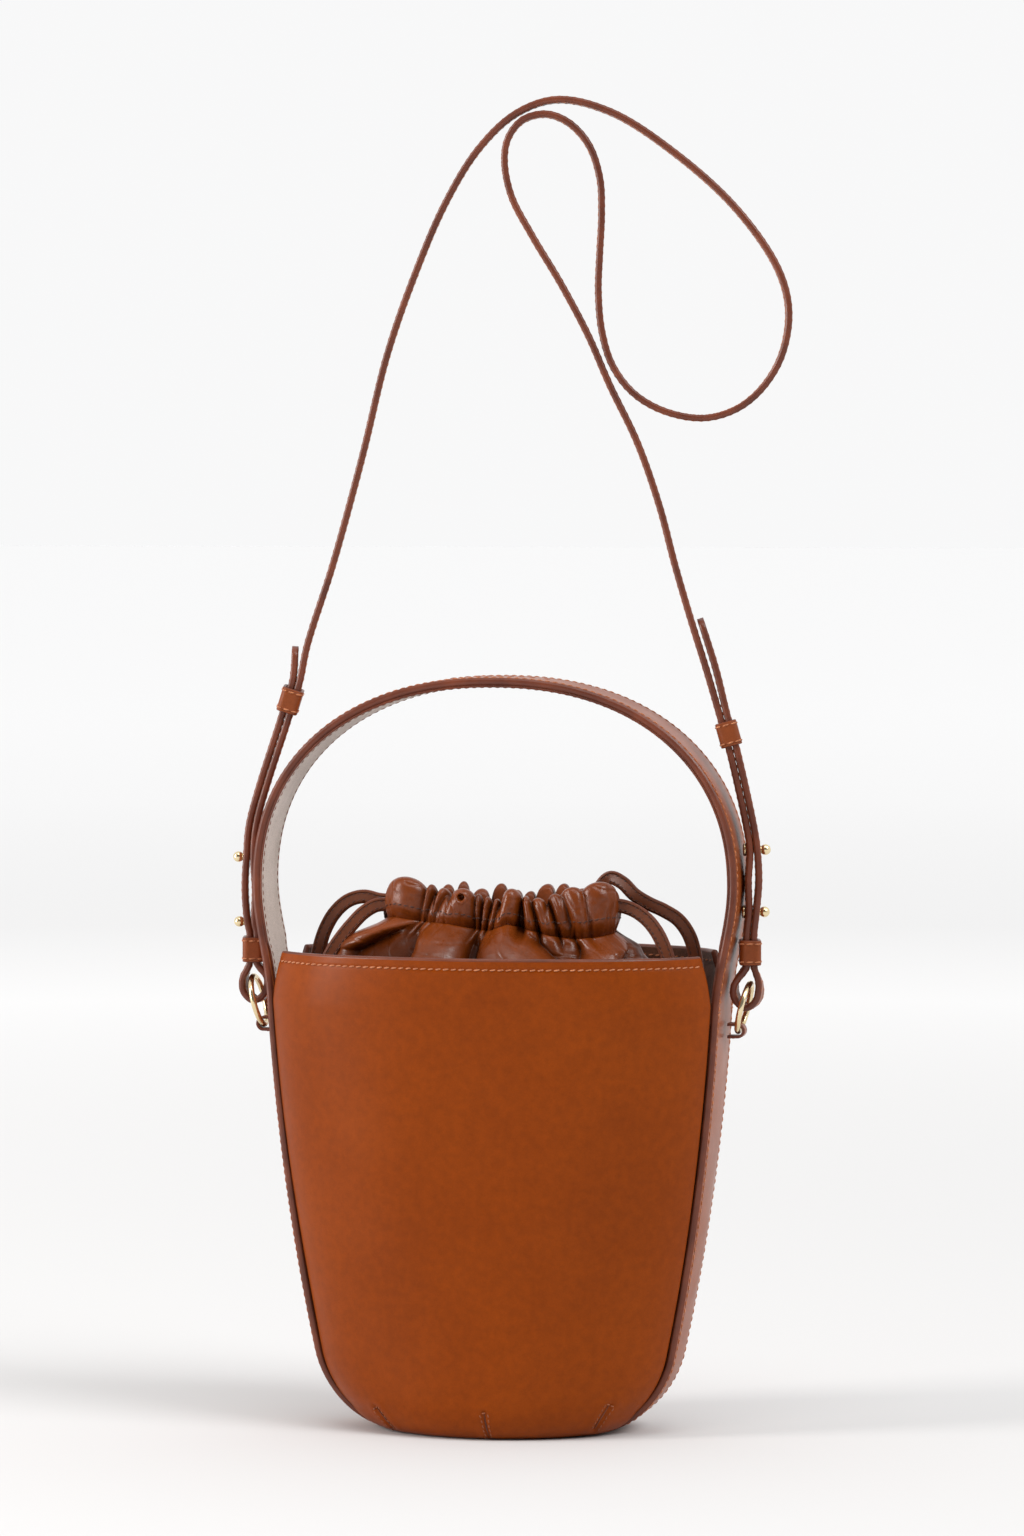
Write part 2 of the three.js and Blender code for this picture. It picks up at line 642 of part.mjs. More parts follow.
// Each route is a list of [x, y, z] from inside the collar's end to the tip hidden in the bag.
const laceRoutes = {
  left_front: [[-48, -3.2, 228.6], [-54.5, -3.2, 228], [-60, -4, 224.8], [-65, -5, 219.6],
    [-69.5, -6, 214], [-73.4, -7, 208], [-77, -8, 200.5], [-80.6, -9, 190], [-83.2, -10, 178],
    [-85, -10.5, 166]],
  left_back: [[-48, 3.2, 229.6], [-54.5, 3.2, 230], [-61.5, 3.2, 231.4], [-68.6, 3.2, 229.4],
    [-74.6, 3.2, 224], [-78.8, 3.2, 216.8], [-81.4, 3.2, 209], [-83.2, 3.2, 200], [-84.6, 3.2, 190],
    [-85.5, 3.2, 178], [-86.2, 3.2, 168]],
  right_front: [[48, -3.2, 229], [54.5, -3.4, 229], [60.5, -4, 227], [66, -4.8, 223.2],
    [70.4, -5.8, 218], [73.8, -6.8, 211.5], [76.6, -7.8, 204], [79.4, -8.8, 195], [81.8, -9.6, 185],
    [83.8, -10.4, 176], [85.2, -10.8, 166]],
  right_back: [[40.5, 12.4, 230.5], [42.4, 12, 236.2], [47, 10.4, 240.4], [52.8, 8, 238.4],
    [58.6, 5.6, 233.4], [65, 4.2, 229.8], [72, 3.4, 226.8], [78.4, 3.2, 222.8], [83, 3.2, 216.4],
    [85.4, 3.2, 209], [86.4, 3.2, 200], [86.6, 3.2, 190], [86.4, 3.2, 178], [86.3, 3.2, 168]],
};

const flatFace = new THREE.Vector3(0, 1, 0); // the laces lie with their faces to the front and back
const laceSection = [];
for (let i = 0; i < 8; i += 1) {
  const angle = (i / 8) * Math.PI * 2;
  laceSection.push([laceWidth / 2 * Math.cos(angle), laceThickness / 2 * Math.sin(angle)]);
}

for (const [place, route] of Object.entries(laceRoutes)) {
  const spots = route.map((point) => new THREE.Vector3(...point));
  const curve = new THREE.CatmullRomCurve3(spots, false, 'centripetal');
  const centres = curve.getPoints(24);
  const widths = centres.map((_, i) => curve.getTangent(i / (centres.length - 1)).cross(flatFace));
  add(`lace_${place}`, sweptBody(centres, widths, laceSection), pouchMaterial);
}

export default bag;
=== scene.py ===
"""The looks of a leather bucket bag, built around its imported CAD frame.

Shapes are worked out in millimetres in the bag's own frame (+X right, -Y front, +Z up)
and turned into metres where each mesh is made.
"""

import math

import bpy
import numpy as np
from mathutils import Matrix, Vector


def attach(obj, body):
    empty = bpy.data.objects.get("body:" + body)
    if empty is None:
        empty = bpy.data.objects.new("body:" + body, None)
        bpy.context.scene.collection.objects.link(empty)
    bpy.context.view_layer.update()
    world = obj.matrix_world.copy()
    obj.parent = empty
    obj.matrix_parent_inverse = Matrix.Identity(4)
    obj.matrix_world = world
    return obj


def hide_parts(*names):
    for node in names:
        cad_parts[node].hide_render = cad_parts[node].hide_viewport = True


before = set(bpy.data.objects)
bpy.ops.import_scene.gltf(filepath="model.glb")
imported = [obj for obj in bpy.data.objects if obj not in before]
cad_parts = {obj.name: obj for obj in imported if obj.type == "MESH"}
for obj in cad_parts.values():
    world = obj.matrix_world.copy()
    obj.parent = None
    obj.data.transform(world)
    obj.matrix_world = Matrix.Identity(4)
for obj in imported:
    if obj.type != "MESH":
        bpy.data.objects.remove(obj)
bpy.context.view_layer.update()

MM = 0.001
Y_AXIS = np.array([0.0, 1.0, 0.0])
random = np.random.default_rng(7)

# ---------------------------------------------------------------- driving dimensions

RIM_HEIGHT = 208.0
JOINT_HEIGHT = 187.0
SIDE_FOOT, SIDE_LEAN, SIDE_CURVE = 72.3, 0.231, 0.00045  # the gusset's outer line: out = a + b z - c z^2
CORNER_RISE = 34.0
CORNER_INSET = 28.3
FOOT_RISE = 16.0
FOOT_INSET = 10.0
FOOT_HALF_WIDTH = 44.0
FOOT_HALF_DEPTH = 38.0
WALL_DEPTH_LOW = 48.0
WALL_DEPTH_HIGH = 60.0
PANEL_END = math.radians(20)
PANEL_THICKNESS = 3.0
GUSSET_LOW = 14.0
GUSSET_HIGH = 20.5
BAND_PROUD = 3.2
BAND_THICKNESS = 2.9
HANDLE_EXTRA = 0.3  # how much thicker the handle is than the gussets
STRIP_HALF_LENGTH = 40.0

ARCH_HALF_WIDTH = 107.0
ARCH_BASE = 238.0
ARCH_HEIGHT = 90.2
ARCH_POWER = 2.2
HANDLE_LOW = 20.0
HANDLE_HIGH = 17.0

STRAP_WIDTH = 11.5
STRAP_THICKNESS = 2.8
STRAND_PITCH = 3.2
STRAP_TURN = math.radians(11)

STITCH_PITCH = 3.4
STITCH_LENGTH = 2.7
BAND_SEAM = 1.9  # from the start of the rounded edge in to the stitch groove
STRAP_SEAM = 0.8
EDGE_SHARE = 0.55  # of half the thickness, that a rounded edge takes from the face
BAR_TACK_HEIGHTS = (184.6, 186.2, 187.8)
LINING_THICKNESS = 0.9
LINING_BEHIND = 3.6  # from the band's outer line in to a side lining's face
LINING_LOW, LINING_HIGH, LINING_HALF = 9, 188, 16
MOTIF_PLACES = np.arange(-20, 21, 5.0)
MOTIF_HALF = (1.7, 2.6)


# ---------------------------------------------------------------- camera, light and floor

VIEW_AZIMUTH = math.radians(11)
VIEW_DISTANCE = 3000.0
VIEW_HEIGHT = 422.5
VIEW_TARGET = (5.1, 1.0, 288.4)
VIEW_LENS = 161.5
LIGHT_TARGET = (0, 0, 150)
FLOOR_HALF = 30.0  # in metres
FLOOR_DROP = 0.0002  # in metres, so that the foot doesn't share the floor's plane
SKY_BACK = 0.94
SKY_FRONT = 0.18
# The floor's tones on the way out from under the bag: share of the way, and the tone there.
FLOOR_TONES = [(0.0, 0.67), (0.137, 0.805), (0.26, 0.765), (0.655, 0.845), (1.0, 0.88)]


def aim(obj, target):
    """Turns a camera or lamp to look at a point given in millimetres."""
    direction = Vector(target) * MM - obj.location
    obj.rotation_euler = direction.to_track_quat("-Z", "Y").to_euler()


def make_camera():
    """The photograph's view: a long lens from a little to the right."""
    data = bpy.data.cameras.new("camera")
    data.lens = VIEW_LENS
    data.sensor_width = 36
    data.clip_end = 50
    camera = bpy.data.objects.new("camera", data)
    bpy.context.scene.collection.objects.link(camera)
    away = (math.sin(VIEW_AZIMUTH) * VIEW_DISTANCE, -math.cos(VIEW_AZIMUTH) * VIEW_DISTANCE)
    camera.location = Vector((VIEW_TARGET[0] + away[0], VIEW_TARGET[1] + away[1], VIEW_HEIGHT)) * MM
    aim(camera, VIEW_TARGET)
    bpy.context.scene.camera = camera


def add_lamp(name, kind, place, target, power):
    """A lamp at one point that shines on another, both in millimetres."""
    data = bpy.data.lights.new(name, kind)
    data.energy = power
    lamp = bpy.data.objects.new(name, data)
    lamp.location = Vector(place) * MM
    bpy.context.scene.collection.objects.link(lamp)
    aim(lamp, target)
    return data


def add_softbox(name, place, size, power, colour):
    """A rectangular lamp aimed at the bag; its size is in metres."""
    data = add_lamp(name, "AREA", place, LIGHT_TARGET, power)
    data.shape = "RECTANGLE"
    data.size, data.size_y = size
    data.color = colour


def make_sky():
    """An even pale sky that is darker in front of the bag, on the camera's side."""
    world = bpy.data.worlds.new("studio")
    bpy.context.scene.world = world
    world.use_nodes = True
    tree = world.node_tree
    sky = tree.nodes["Background"]
    place = tree.nodes.new("ShaderNodeTexCoord")
    split = tree.nodes.new("ShaderNodeSeparateXYZ")
    ramp = tree.nodes.new("ShaderNodeValToRGB")
    reach = tree.nodes.new("ShaderNodeMapRange")
    reach.inputs["From Min"].default_value = -0.75
    reach.inputs["From Max"].default_value = -0.15
    tree.links.new(place.outputs["Generated"], split.inputs["Vector"])
    tree.links.new(split.outputs["Y"], reach.inputs["Value"])
    tree.links.new(reach.outputs["Result"], ramp.inputs["Fac"])
    ramp.color_ramp.interpolation = "EASE"
    ramp.color_ramp.elements[0].color = (SKY_FRONT, SKY_FRONT, SKY_FRONT, 1)
    ramp.color_ramp.elements[1].color = (SKY_BACK, SKY_BACK, SKY_BACK * 1.003, 1)
    tree.links.new(ramp.outputs["Color"], sky.inputs["Color"])
    sky.inputs["Strength"].default_value = 1.0


def make_stage():
    """A pale floor far wider than the view, the sky and the lamps."""
    scene = bpy.context.scene
    scene.view_settings.view_transform = "Standard"
    make_sky()
    mesh = bpy.data.meshes.new("floor")
    corners = [(x * FLOOR_HALF, y * FLOOR_HALF, 0) for x, y in ((-1, -1), (1, -1), (1, 1), (-1, 1))]
    mesh.from_pydata(corners, [], [(0, 1, 2, 3)])
    floor = bpy.data.objects.new("floor", mesh)
    floor.location.z = -FLOOR_DROP
    scene.collection.objects.link(floor)
    floor.data.materials.append(floor_material())
    key = add_lamp("key", "SUN", (900, -500, 950), (0, 0, 0), 1.45)
    key.angle = math.radians(26)
    add_softbox("left_softbox", (-3100, -1700, 1000), (0.9, 3.0), 115, (1.0, 0.95, 0.92))
    add_softbox("top_softbox", (300, -1500, 3300), (2.0, 1.0), 25, (1.0, 0.98, 0.96))


# ---------------------------------------------------------------- materials

class Nodes:
    """Short ways to add and join shader nodes in one material."""

    def __init__(self, name):
        self.material = bpy.data.materials.new(name)
        self.material.use_nodes = True
        self.tree = self.material.node_tree
        self.shader = self.tree.nodes["Principled BSDF"]
        self.place = self.tree.nodes.new("ShaderNodeTexCoord").outputs["Object"]

    def add(self, kind, **settings):
        """A new node with some of its properties set."""
        node = self.tree.nodes.new(kind)
        for key, value in settings.items():
            setattr(node, key, value)
        return node

    def join(self, output, socket):
        """Links an output to an input."""
        self.tree.links.new(output, socket)

    def noise(self, scale, detail=2.0, roughness=0.5, distortion=0.0):
        """Smooth noise, near 0.5 on average."""
        node = self.add("ShaderNodeTexNoise")
        self.join(self.place, node.inputs["Vector"])
        node.inputs["Scale"].default_value = scale
        node.inputs["Detail"].default_value = detail
        node.inputs["Roughness"].default_value = roughness
        node.inputs["Distortion"].default_value = distortion
        return node.outputs["Fac"]

    def cells(self, scale):
        """Distance to the nearest edge between small cells."""
        node = self.add("ShaderNodeTexVoronoi", feature="DISTANCE_TO_EDGE")
        self.join(self.place, node.inputs["Vector"])
        node.inputs["Scale"].default_value = scale
        return node.outputs["Distance"]

    def ramp(self, value, low, high, first, last):
        """A colour ramp from first at low to last at high."""
        node = self.add("ShaderNodeValToRGB")
        self.join(value, node.inputs["Fac"])
        ends = node.color_ramp.elements
        ends[0].position, ends[0].color = low, (*first, 1)
        ends[1].position, ends[1].color = high, (*last, 1)
        return node.outputs["Color"]

    def map_range(self, value, low, high, first=0.0, last=1.0, **settings):
        """Maps low to high onto first to last."""
        node = self.add("ShaderNodeMapRange", **settings)
        self.join(value, node.inputs["Value"])
        for name, number in (("From Min", low), ("From Max", high), ("To Min", first), ("To Max", last)):
            node.inputs[name].default_value = number
        return node.outputs["Result"]

    def spread(self, value, low, high):
        """Maps the middle of a noise's range onto low to high."""
        return self.map_range(value, 0.3, 0.7, low, high)

    def mix(self, factor, first, second, blend="MIX"):
        """Blends two colours, each a tuple or an output."""
        node = self.add("ShaderNodeMix", data_type="RGBA", blend_type=blend)
        if isinstance(factor, float):
            node.inputs["Factor"].default_value = factor
        else:
            self.join(factor, node.inputs["Factor"])
        for value, socket in ((first, node.inputs[6]), (second, node.inputs[7])):
            if isinstance(value, tuple):
                socket.default_value = (*value, 1)
            else:
                self.join(value, socket)
        return node.outputs[2]

    def bump(self, height, strength, distance, below=None):
        """A bumped normal, on top of another one if below is given."""
        node = self.add("ShaderNodeBump")
        self.join(height, node.inputs["Height"])
        node.inputs["Strength"].default_value = strength
        node.inputs["Distance"].default_value = distance
        if below is not None:
            self.join(below, node.inputs["Normal"])
        return node.outputs["Normal"]

    def edges(self, low, high):
        """Near 1 on sharp convex stretches, 0 elsewhere."""
        return self.map_range(self.add("ShaderNodeNewGeometry").outputs["Pointiness"], low, high)

    def finish(self, colour, roughness, normal, specular=0.5, sheen=0.0, metal=0.0):
        """Joins everything to the shader and returns the material."""
        self.join(colour, self.shader.inputs["Base Color"])
        self.join(roughness, self.shader.inputs["Roughness"])
        self.join(normal, self.shader.inputs["Normal"])
        self.shader.inputs["Specular IOR Level"].default_value = specular
        self.shader.inputs["Metallic"].default_value = metal
        self.shader.inputs["Sheen Weight"].default_value = sheen
        return self.material


def leather_material(name, dark, light, roughness=0.42, specular=0.35, grain=0.12, creases=0.0, worn_and_ridge_light=0.25,
                     painted_hollow_shade=1.0):
    """Calf leather: slow colour drift, fine pore grain, and lighter sharp convex edges, partly worn leather
    and partly a painted highlight on ridges.

    Given a hollow shade below 1, the mesh's fold_light attribute paints shade into the bottoms of its folds:
    their colour is darkened and their reflection weakened.
    """
    n = Nodes(name)
    drift = n.ramp(n.noise(14, 3, 0.6), 0.35, 0.68, dark, light)
    mottle = n.ramp(n.noise(260, 3, 0.6), 0.3, 0.7, (0.86, 0.86, 0.86), (1.08, 1.08, 1.08))
    tone = n.mix(0.8, drift, mottle, "MULTIPLY")
    pores = n.ramp(n.cells(900), 0.0, 0.12, (0.82, 0.8, 0.78), (1, 1, 1))
    tone = n.mix(0.5, tone, pores, "MULTIPLY")
    bright = tuple(min(1.0, c * 1.45 + 0.01) for c in light)
    # lighter sharp convex edges: partly real wear, partly a painted highlight on the ridges of folds
    wear_and_ridge_light = n.mix(n.edges(0.52, 0.62), (0, 0, 0), (worn_and_ridge_light, worn_and_ridge_light, worn_and_ridge_light))
    tone = n.mix(wear_and_ridge_light, tone, bright)
    if painted_hollow_shade < 1:
        # painted shade: the bottoms of the folds are coloured darker, as if less light reached them
        fold_light = n.add("ShaderNodeAttribute", attribute_name="fold_light").outputs["Fac"]
        shade = n.mix(fold_light, (painted_hollow_shade, painted_hollow_shade * 0.75, painted_hollow_shade * 0.75), (1, 1, 1))
        tone = n.mix(1.0, tone, shade, "MULTIPLY")
    grain_bump = n.bump(n.cells(1100), grain, 0.00025)
    fine = n.bump(n.noise(2600, 2), grain * 0.8, 0.0001, grain_bump)
    if creases:
        fine = n.bump(n.noise(70, 4, 0.65, 0.6), creases, 0.0012, fine)
    shine = n.spread(n.noise(40, 3), roughness - 0.05, roughness + 0.07)
    material = n.finish(tone, shine, fine, specular=specular)
    if painted_hollow_shade < 1:
        # painted shade: the reflection fades away in the bottoms of the folds
        n.join(n.map_range(fold_light, 0.0, 1.0, 0.03, specular), n.shader.inputs["Specular IOR Level"])
    return material


def edge_material():
    """Painted leather edges: dark, smooth, with a faint ripple."""
    n = Nodes("edge_paint")
    tone = n.ramp(n.noise(90, 3), 0.3, 0.7, (0.095, 0.022, 0.010), (0.17, 0.040, 0.016))
    normal = n.bump(n.noise(500, 3), 0.25, 0.0003)
    return n.finish(tone, n.spread(n.noise(120, 2), 0.30, 0.42), normal, specular=0.4)


def suede_material(name, dark, light):
    """Suede: mottled tone, fine fibres and a soft sheen."""
    n = Nodes(name)
    tone = n.ramp(n.noise(60, 4, 0.7), 0.3, 0.72, dark, light)
    fibres = n.ramp(n.noise(1800, 2), 0.35, 0.65, (0.7, 0.7, 0.7), (1.2, 1.2, 1.2))
    fibre = n.mix(0.6, tone, fibres, "MULTIPLY")
    normal = n.bump(n.noise(1500, 3, 0.7), 0.55, 0.0004)
    return n.finish(fibre, n.spread(n.noise(200, 2), 0.85, 0.98), normal, specular=0.15, sheen=0.35)


def thread_material(name, dark, light):
    """Waxed thread."""
    n = Nodes(name)
    tone = n.ramp(n.noise(700, 2), 0.35, 0.65, dark, light)
    normal = n.bump(n.noise(3500, 1), 0.5, 0.0002)
    return n.finish(tone, n.spread(n.noise(900, 2), 0.5, 0.68), normal, specular=0.4, sheen=0.2)


def gold_material():
    """Polished pale gold metal with faint smears."""
    n = Nodes("pale_gold")
    tone = n.ramp(n.noise(120, 2), 0.3, 0.7, (0.76, 0.60, 0.34), (0.88, 0.74, 0.48))
    normal = n.bump(n.noise(900, 3), 0.05, 0.0001)
    return n.finish(tone, n.spread(n.noise(260, 4, 0.7), 0.14, 0.26), normal, metal=1.0)


def board_material():
    """The grey board that stiffens the foot."""
    n = Nodes("stiffener_board")
    tone = n.ramp(n.noise(300, 4, 0.7), 0.3, 0.7, (0.05, 0.045, 0.04), (0.11, 0.10, 0.09))
    normal = n.bump(n.noise(1200, 3), 0.3, 0.0003)
    return n.finish(tone, n.spread(n.noise(90, 2), 0.8, 0.95), normal, specular=0.2)


def floor_material():
    """A matt floor whose tone changes with the distance from the bag."""
    n = Nodes("studio_floor")
    away = n.add("ShaderNodeVectorMath", operation="LENGTH")
    n.join(n.place, away.inputs[0])
    span = n.map_range(away.outputs["Value"], 0.4, 9.0, interpolation_type="SMOOTHSTEP")
    tones = n.add("ShaderNodeValToRGB")
    n.join(span, tones.inputs["Fac"])
    stops = tones.color_ramp.elements
    while len(stops) < len(FLOOR_TONES):
        stops.new(0.5)
    for stop, (place, tone) in zip(stops, FLOOR_TONES):
        stop.position, stop.color = place, (tone, tone, tone, 1)
    normal = n.bump(n.noise(40, 2), 0.02, 0.0005)
    return n.finish(tones.outputs["Color"], n.spread(n.noise(5, 2), 0.9, 1.0), normal, specular=0.0)


BODY = leather_material("body_leather", (0.228, 0.039, 0.0006), (0.265, 0.047, 0.0010), roughness=0.36,
                        specular=0.11, grain=0.08)
# The band's leather is a lighter, warmer copy of the body's: partly a painted highlight for the pale sheen
# its faces catch at a grazing angle.
BAND = leather_material("band_leather", (0.250, 0.052, 0.007), (0.305, 0.068, 0.011), roughness=0.38,
                        specular=0.5)
STRAP = leather_material("strap_leather", (0.190, 0.040, 0.007), (0.240, 0.055, 0.012), specular=0.25)
# The pouch's fold bottoms get painted shade through its fold_light attribute.
POUCH = leather_material("pouch_leather", (0.138, 0.026, 0.002), (0.215, 0.043, 0.004),
                         roughness=0.30, specular=0.42, grain=0.22, creases=0.3, worn_and_ridge_light=0.12, painted_hollow_shade=0.1)
LACE = leather_material("lace_leather", (0.110, 0.026, 0.006), (0.165, 0.042, 0.012), specular=0.4, grain=0.2)
EDGE = edge_material()
SUEDE = suede_material("suede_lining", (0.085, 0.030, 0.012), (0.19, 0.075, 0.035))
THREAD = thread_material("thread", (0.36, 0.105, 0.030), (0.56, 0.20, 0.075))
DART_THREAD = thread_material("dart_thread", (0.20, 0.045, 0.008), (0.33, 0.09, 0.022))
SEAM_THREAD = thread_material("seam_thread", (0.045, 0.010, 0.004), (0.10, 0.026, 0.010))
DARK_THREAD = thread_material("dark_thread", (0.16, 0.045, 0.016), (0.26, 0.08, 0.03))
PALE_SUEDE = suede_material("pale_suede", (0.46, 0.36, 0.30), (0.60, 0.49, 0.43))
GOLD = gold_material()
BOARD = board_material()


# ---------------------------------------------------------------- mesh helpers

def full_turn(steps):
    """Angles evenly spaced all the way round, the first one not repeated."""
    return np.linspace(0, 2 * math.pi, steps, endpoint=False)


def upright(x, z):
    """Points in the bag's upright middle plane."""
    return np.stack([x, np.zeros(len(x)), z], axis=-1)


def unit(vectors):
    """The vectors, each made one long."""
    return vectors / np.maximum(np.linalg.norm(vectors, axis=-1, keepdims=True), 1e-9)


def make_piece(name, points, faces, materials, body, picks=0):
    """A smooth mesh object from points in millimetres; faces may repeat a corner.

    picks says which of the materials each face has, as one number or as one for each face.
    """
    corners = faces.tolist() if isinstance(faces, np.ndarray) else faces
    mesh = bpy.data.meshes.new(name)
    mesh.from_pydata((points * MM).tolist(), [], [list(dict.fromkeys(face)) for face in corners])
    for material in materials:
        mesh.materials.append(material)
    mesh.polygons.foreach_set("material_index", np.array(np.broadcast_to(picks, len(corners)), np.int32))
    mesh.polygons.foreach_set("use_smooth", np.ones(len(corners), dtype=bool))
    mesh.update()
    piece = bpy.data.objects.new(name, mesh)
    bpy.context.scene.collection.objects.link(piece)
    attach(piece, body)
    return piece


def facing_out(points, faces):
    """Turns the faces over when the closed body they make has a negative volume."""
    volume = 0.0
    for corners in (points[faces[:, :3]], points[faces[:, [0, 2, 3]]]):
        volume += np.einsum("ij,ij->i", corners[:, 0], np.cross(corners[:, 1], corners[:, 2])).sum()
    return faces[:, ::-1] if volume < 0 else faces


def grid_quads(rows, columns, wrap_rows=False, wrap_columns=False, start=0):
    """The quads between the neighbours of a grid of points, counted row by row from start."""
    r = np.arange(rows if wrap_rows else rows - 1)
    c = np.arange(columns if wrap_columns else columns - 1)
    r, c = np.meshgrid(r, c, indexing="ij")
    r2, c2 = (r + 1) % rows, (c + 1) % columns
    quads = np.stack([r * columns + c, r * columns + c2, r2 * columns + c2, r2 * columns + c], axis=-1)
    return quads.reshape(-1, 4) + start


def grid_normals(grid, inside=(0, 0, 100)):
    """Unit normals of a grid of points, all on the side away from a point inside."""
    normal = unit(np.cross(np.gradient(grid, axis=1), np.gradient(grid, axis=0)))
    outward = np.einsum("ijk,ijk->ij", normal, grid - np.asarray(inside))
    return normal * np.where(outward < 0, -1, 1)[..., None]


def frames_along(centres, wide):
    """Width and thickness directions at each point of a line, from the direction wanted for the width."""
    along = unit(np.gradient(centres, axis=0))
    thick = unit(np.cross(along, wide))
    return unit(np.cross(thick, along)), thick


def sweep(name, centres, wide, sections, section_picks, materials, body, closed=False):
    """Carries a closed section along a line.

    wide is the direction of its width, and sections holds its points, [section points, 2] in mm:
    either can be one for the whole line or one for each point of it.
    """
    wide = np.broadcast_to(wide, centres.shape)
    sections = np.broadcast_to(sections, (len(centres), *np.shape(sections)[-2:]))
    if closed:
        around = [np.vstack([values[-2:-1], values, values[1:2]]) for values in (centres, wide)]
        width, thick = (directions[1:-2] for directions in frames_along(*around))
        centres, sections = centres[:-1], sections[:-1]
    else:
        width, thick = frames_along(centres, wide)
    points = centres[:, None] + sections[..., :1] * width[:, None] + sections[..., 1:] * thick[:, None]
    rows, columns = points.shape[:2]
    quads = grid_quads(rows, columns, wrap_rows=closed, wrap_columns=True)
    picks = np.tile(section_picks, rows if closed else rows - 1)
    points = points.reshape(-1, 3)
    if not closed:
        for row, centre in ((0, centres[0]), (rows - 1, centres[-1])):
            points = np.vstack([points, centre])
            ring = np.arange(columns) + row * columns
            middle = np.full(columns, len(points) - 1)
            fan = np.stack([middle, ring, np.roll(ring, -1), middle], axis=-1)
            quads = np.vstack([quads, fan if row else fan[:, [0, 2, 1, 3]]])
            picks = np.concatenate([picks, np.full(columns, len(materials) - 1)])
    return make_piece(name, points, facing_out(points, quads), materials, body, picks)


def groove_place(half_width, thickness, groove_in):
    """How far from a strip's middle its stitch grooves lie."""
    return half_width - groove_in - thickness / 2 * EDGE_SHARE


def leather_section(half_width, thickness, groove_in, groove=0.18, crown=0.0):
    """A flat strip's section: two faces with a stitch groove near each edge, and rounded painted edges.

    Returns the section's points and each side's material: 0 leather, 1 painted edge.
    """
    radius = thickness / 2
    steps = np.array([0.0, 0.5, 1.0, groove_in - 0.45, groove_in, groove_in + 0.45, groove_in + 1.1])
    half = half_width - (steps + radius * EDGE_SHARE)
    half = half[half > 0.3]
    across = np.concatenate([-half, [0.0], half[::-1]])
    groove_at = groove_place(half_width, thickness, groove_in)

    def face(side):
        sunk = np.where(np.abs(np.abs(across) - groove_at) < 0.2, groove, 0.0)
        level = radius + crown * (1 - (across / half_width) ** 2) * (side > 0) - sunk
        return np.stack([across, side * level], axis=-1)

    turns = np.radians([72, 45, 18, 0, -18, -45, -72])
    corner = radius * 0.75
    right = np.stack([half_width - corner + corner * np.cos(turns), radius * np.sin(turns)], axis=-1)
    right[3, 0] -= 0.12
    left = right[::-1] * [-1, 1]
    top, bottom = face(1), face(-1)[::-1]
    picks = np.repeat([0, 1, 0, 1], [len(top), len(right), len(bottom), len(left)])
    picks[[len(top) - 1, -len(left) - 1]] = 1
    return np.vstack([top, right, bottom, left]), picks


def line_length(points):
    """The length of a line up to each of its points."""
    return np.concatenate([[0], np.cumsum(np.linalg.norm(np.diff(points, axis=0), axis=1))])


def read_along(at, run, values):
    """Values given at the lengths run of a line, read at other lengths."""
    return np.stack([np.interp(at, run, column) for column in values.T], axis=-1)


def resample(points, spacing):
    """Evenly spaced points along a line."""
    run = line_length(points)
    steps = max(int(round(run[-1] / spacing)), 2)
    return read_along(np.linspace(0, run[-1], steps + 1), run, points)


def centripetal(points, steps_each=12):
    """A smooth line through a list of points, with centripetal Catmull-Rom spacing."""
    p = np.asarray(points, float)
    p = np.vstack([2 * p[0] - p[1], p, 2 * p[-1] - p[-2]])
    t = np.linspace(0, 1, steps_each, endpoint=False)[:, None]
    made = []
    for i in range(1, len(p) - 2):
        before, start, end, after = p[i - 1:i + 3]
        d0, d1, d2 = (max(np.linalg.norm(p[i + k] - p[i + k - 1]) ** 0.5, 1e-4) for k in range(3))
        leave = ((start - before) / d0 - (end - before) / (d0 + d1) + (end - start) / d1) * d1
        arrive = ((end - start) / d1 - (after - start) / (d1 + d2) + (after - end) / d2) * d1
        made.append(start + leave * t + (-3 * start + 3 * end - 2 * leave - arrive) * t ** 2
                    + (2 * start - 2 * end + leave + arrive) * t ** 3)
    made.append(p[-2:-1])
    return np.vstack(made)


# ---------------------------------------------------------------- stitches

def stitch_template():
    """One slightly arched stitch, 1 mm long along X and 1 mm across, as points and quads."""
    rings, around = 5, 6
    turns = full_turn(around)
    along = np.cos(np.linspace(math.pi, 0, rings))
    thick = np.sin(np.linspace(math.pi, 0, rings)) ** 0.7 * 0.94 + 0.06
    points = np.array([[0.5 * a, 0.5 * w * math.cos(t), 0.5 * w * math.sin(t) - 0.35 * a * a]
                       for a, w in zip(along, thick) for t in turns])
    quads = grid_quads(rings, around, wrap_columns=True)
    caps = [[0, 1, 2, 3], [0, 3, 4, 5]]
    far = (rings - 1) * around
    caps += [[far + k for k in cap[::-1]] for cap in caps[:2]]
    return points, np.vstack([quads, caps])


STITCH_POINTS, STITCH_QUADS = stitch_template()


def stitch_row(line, normals, pitch=STITCH_PITCH, start=0.5, slant=9.0):
    """Places, directions and normals of the stitches along a line on a surface."""
    run = line_length(line)
    count = max(int((run[-1] - 2 * start) / pitch), 1)
    at = start + (np.arange(count) + 0.5) * (run[-1] - 2 * start) / count
    along = unit(read_along(at + 0.4, run, line) - read_along(at - 0.4, run, line))
    up = unit(read_along(at, run, np.broadcast_to(normals, line.shape)))
    side = unit(np.cross(up, along))
    turn = math.radians(slant)
    return read_along(at, run, line), unit(along * math.cos(turn) + side * math.sin(turn)), up


def strap_rows(centres, wide, inset, level, keep, **stitching):
    """Stitch rows near both edges of both faces of a strap."""
    width, thick = frames_along(centres, wide)
    rows = []
    for across in (-1, 1):
        for face in (-1, 1):
            line = centres + width * across * inset + thick * face * level
            rows.append(stitch_row(line[keep], thick[keep] * face, **stitching))
    return rows


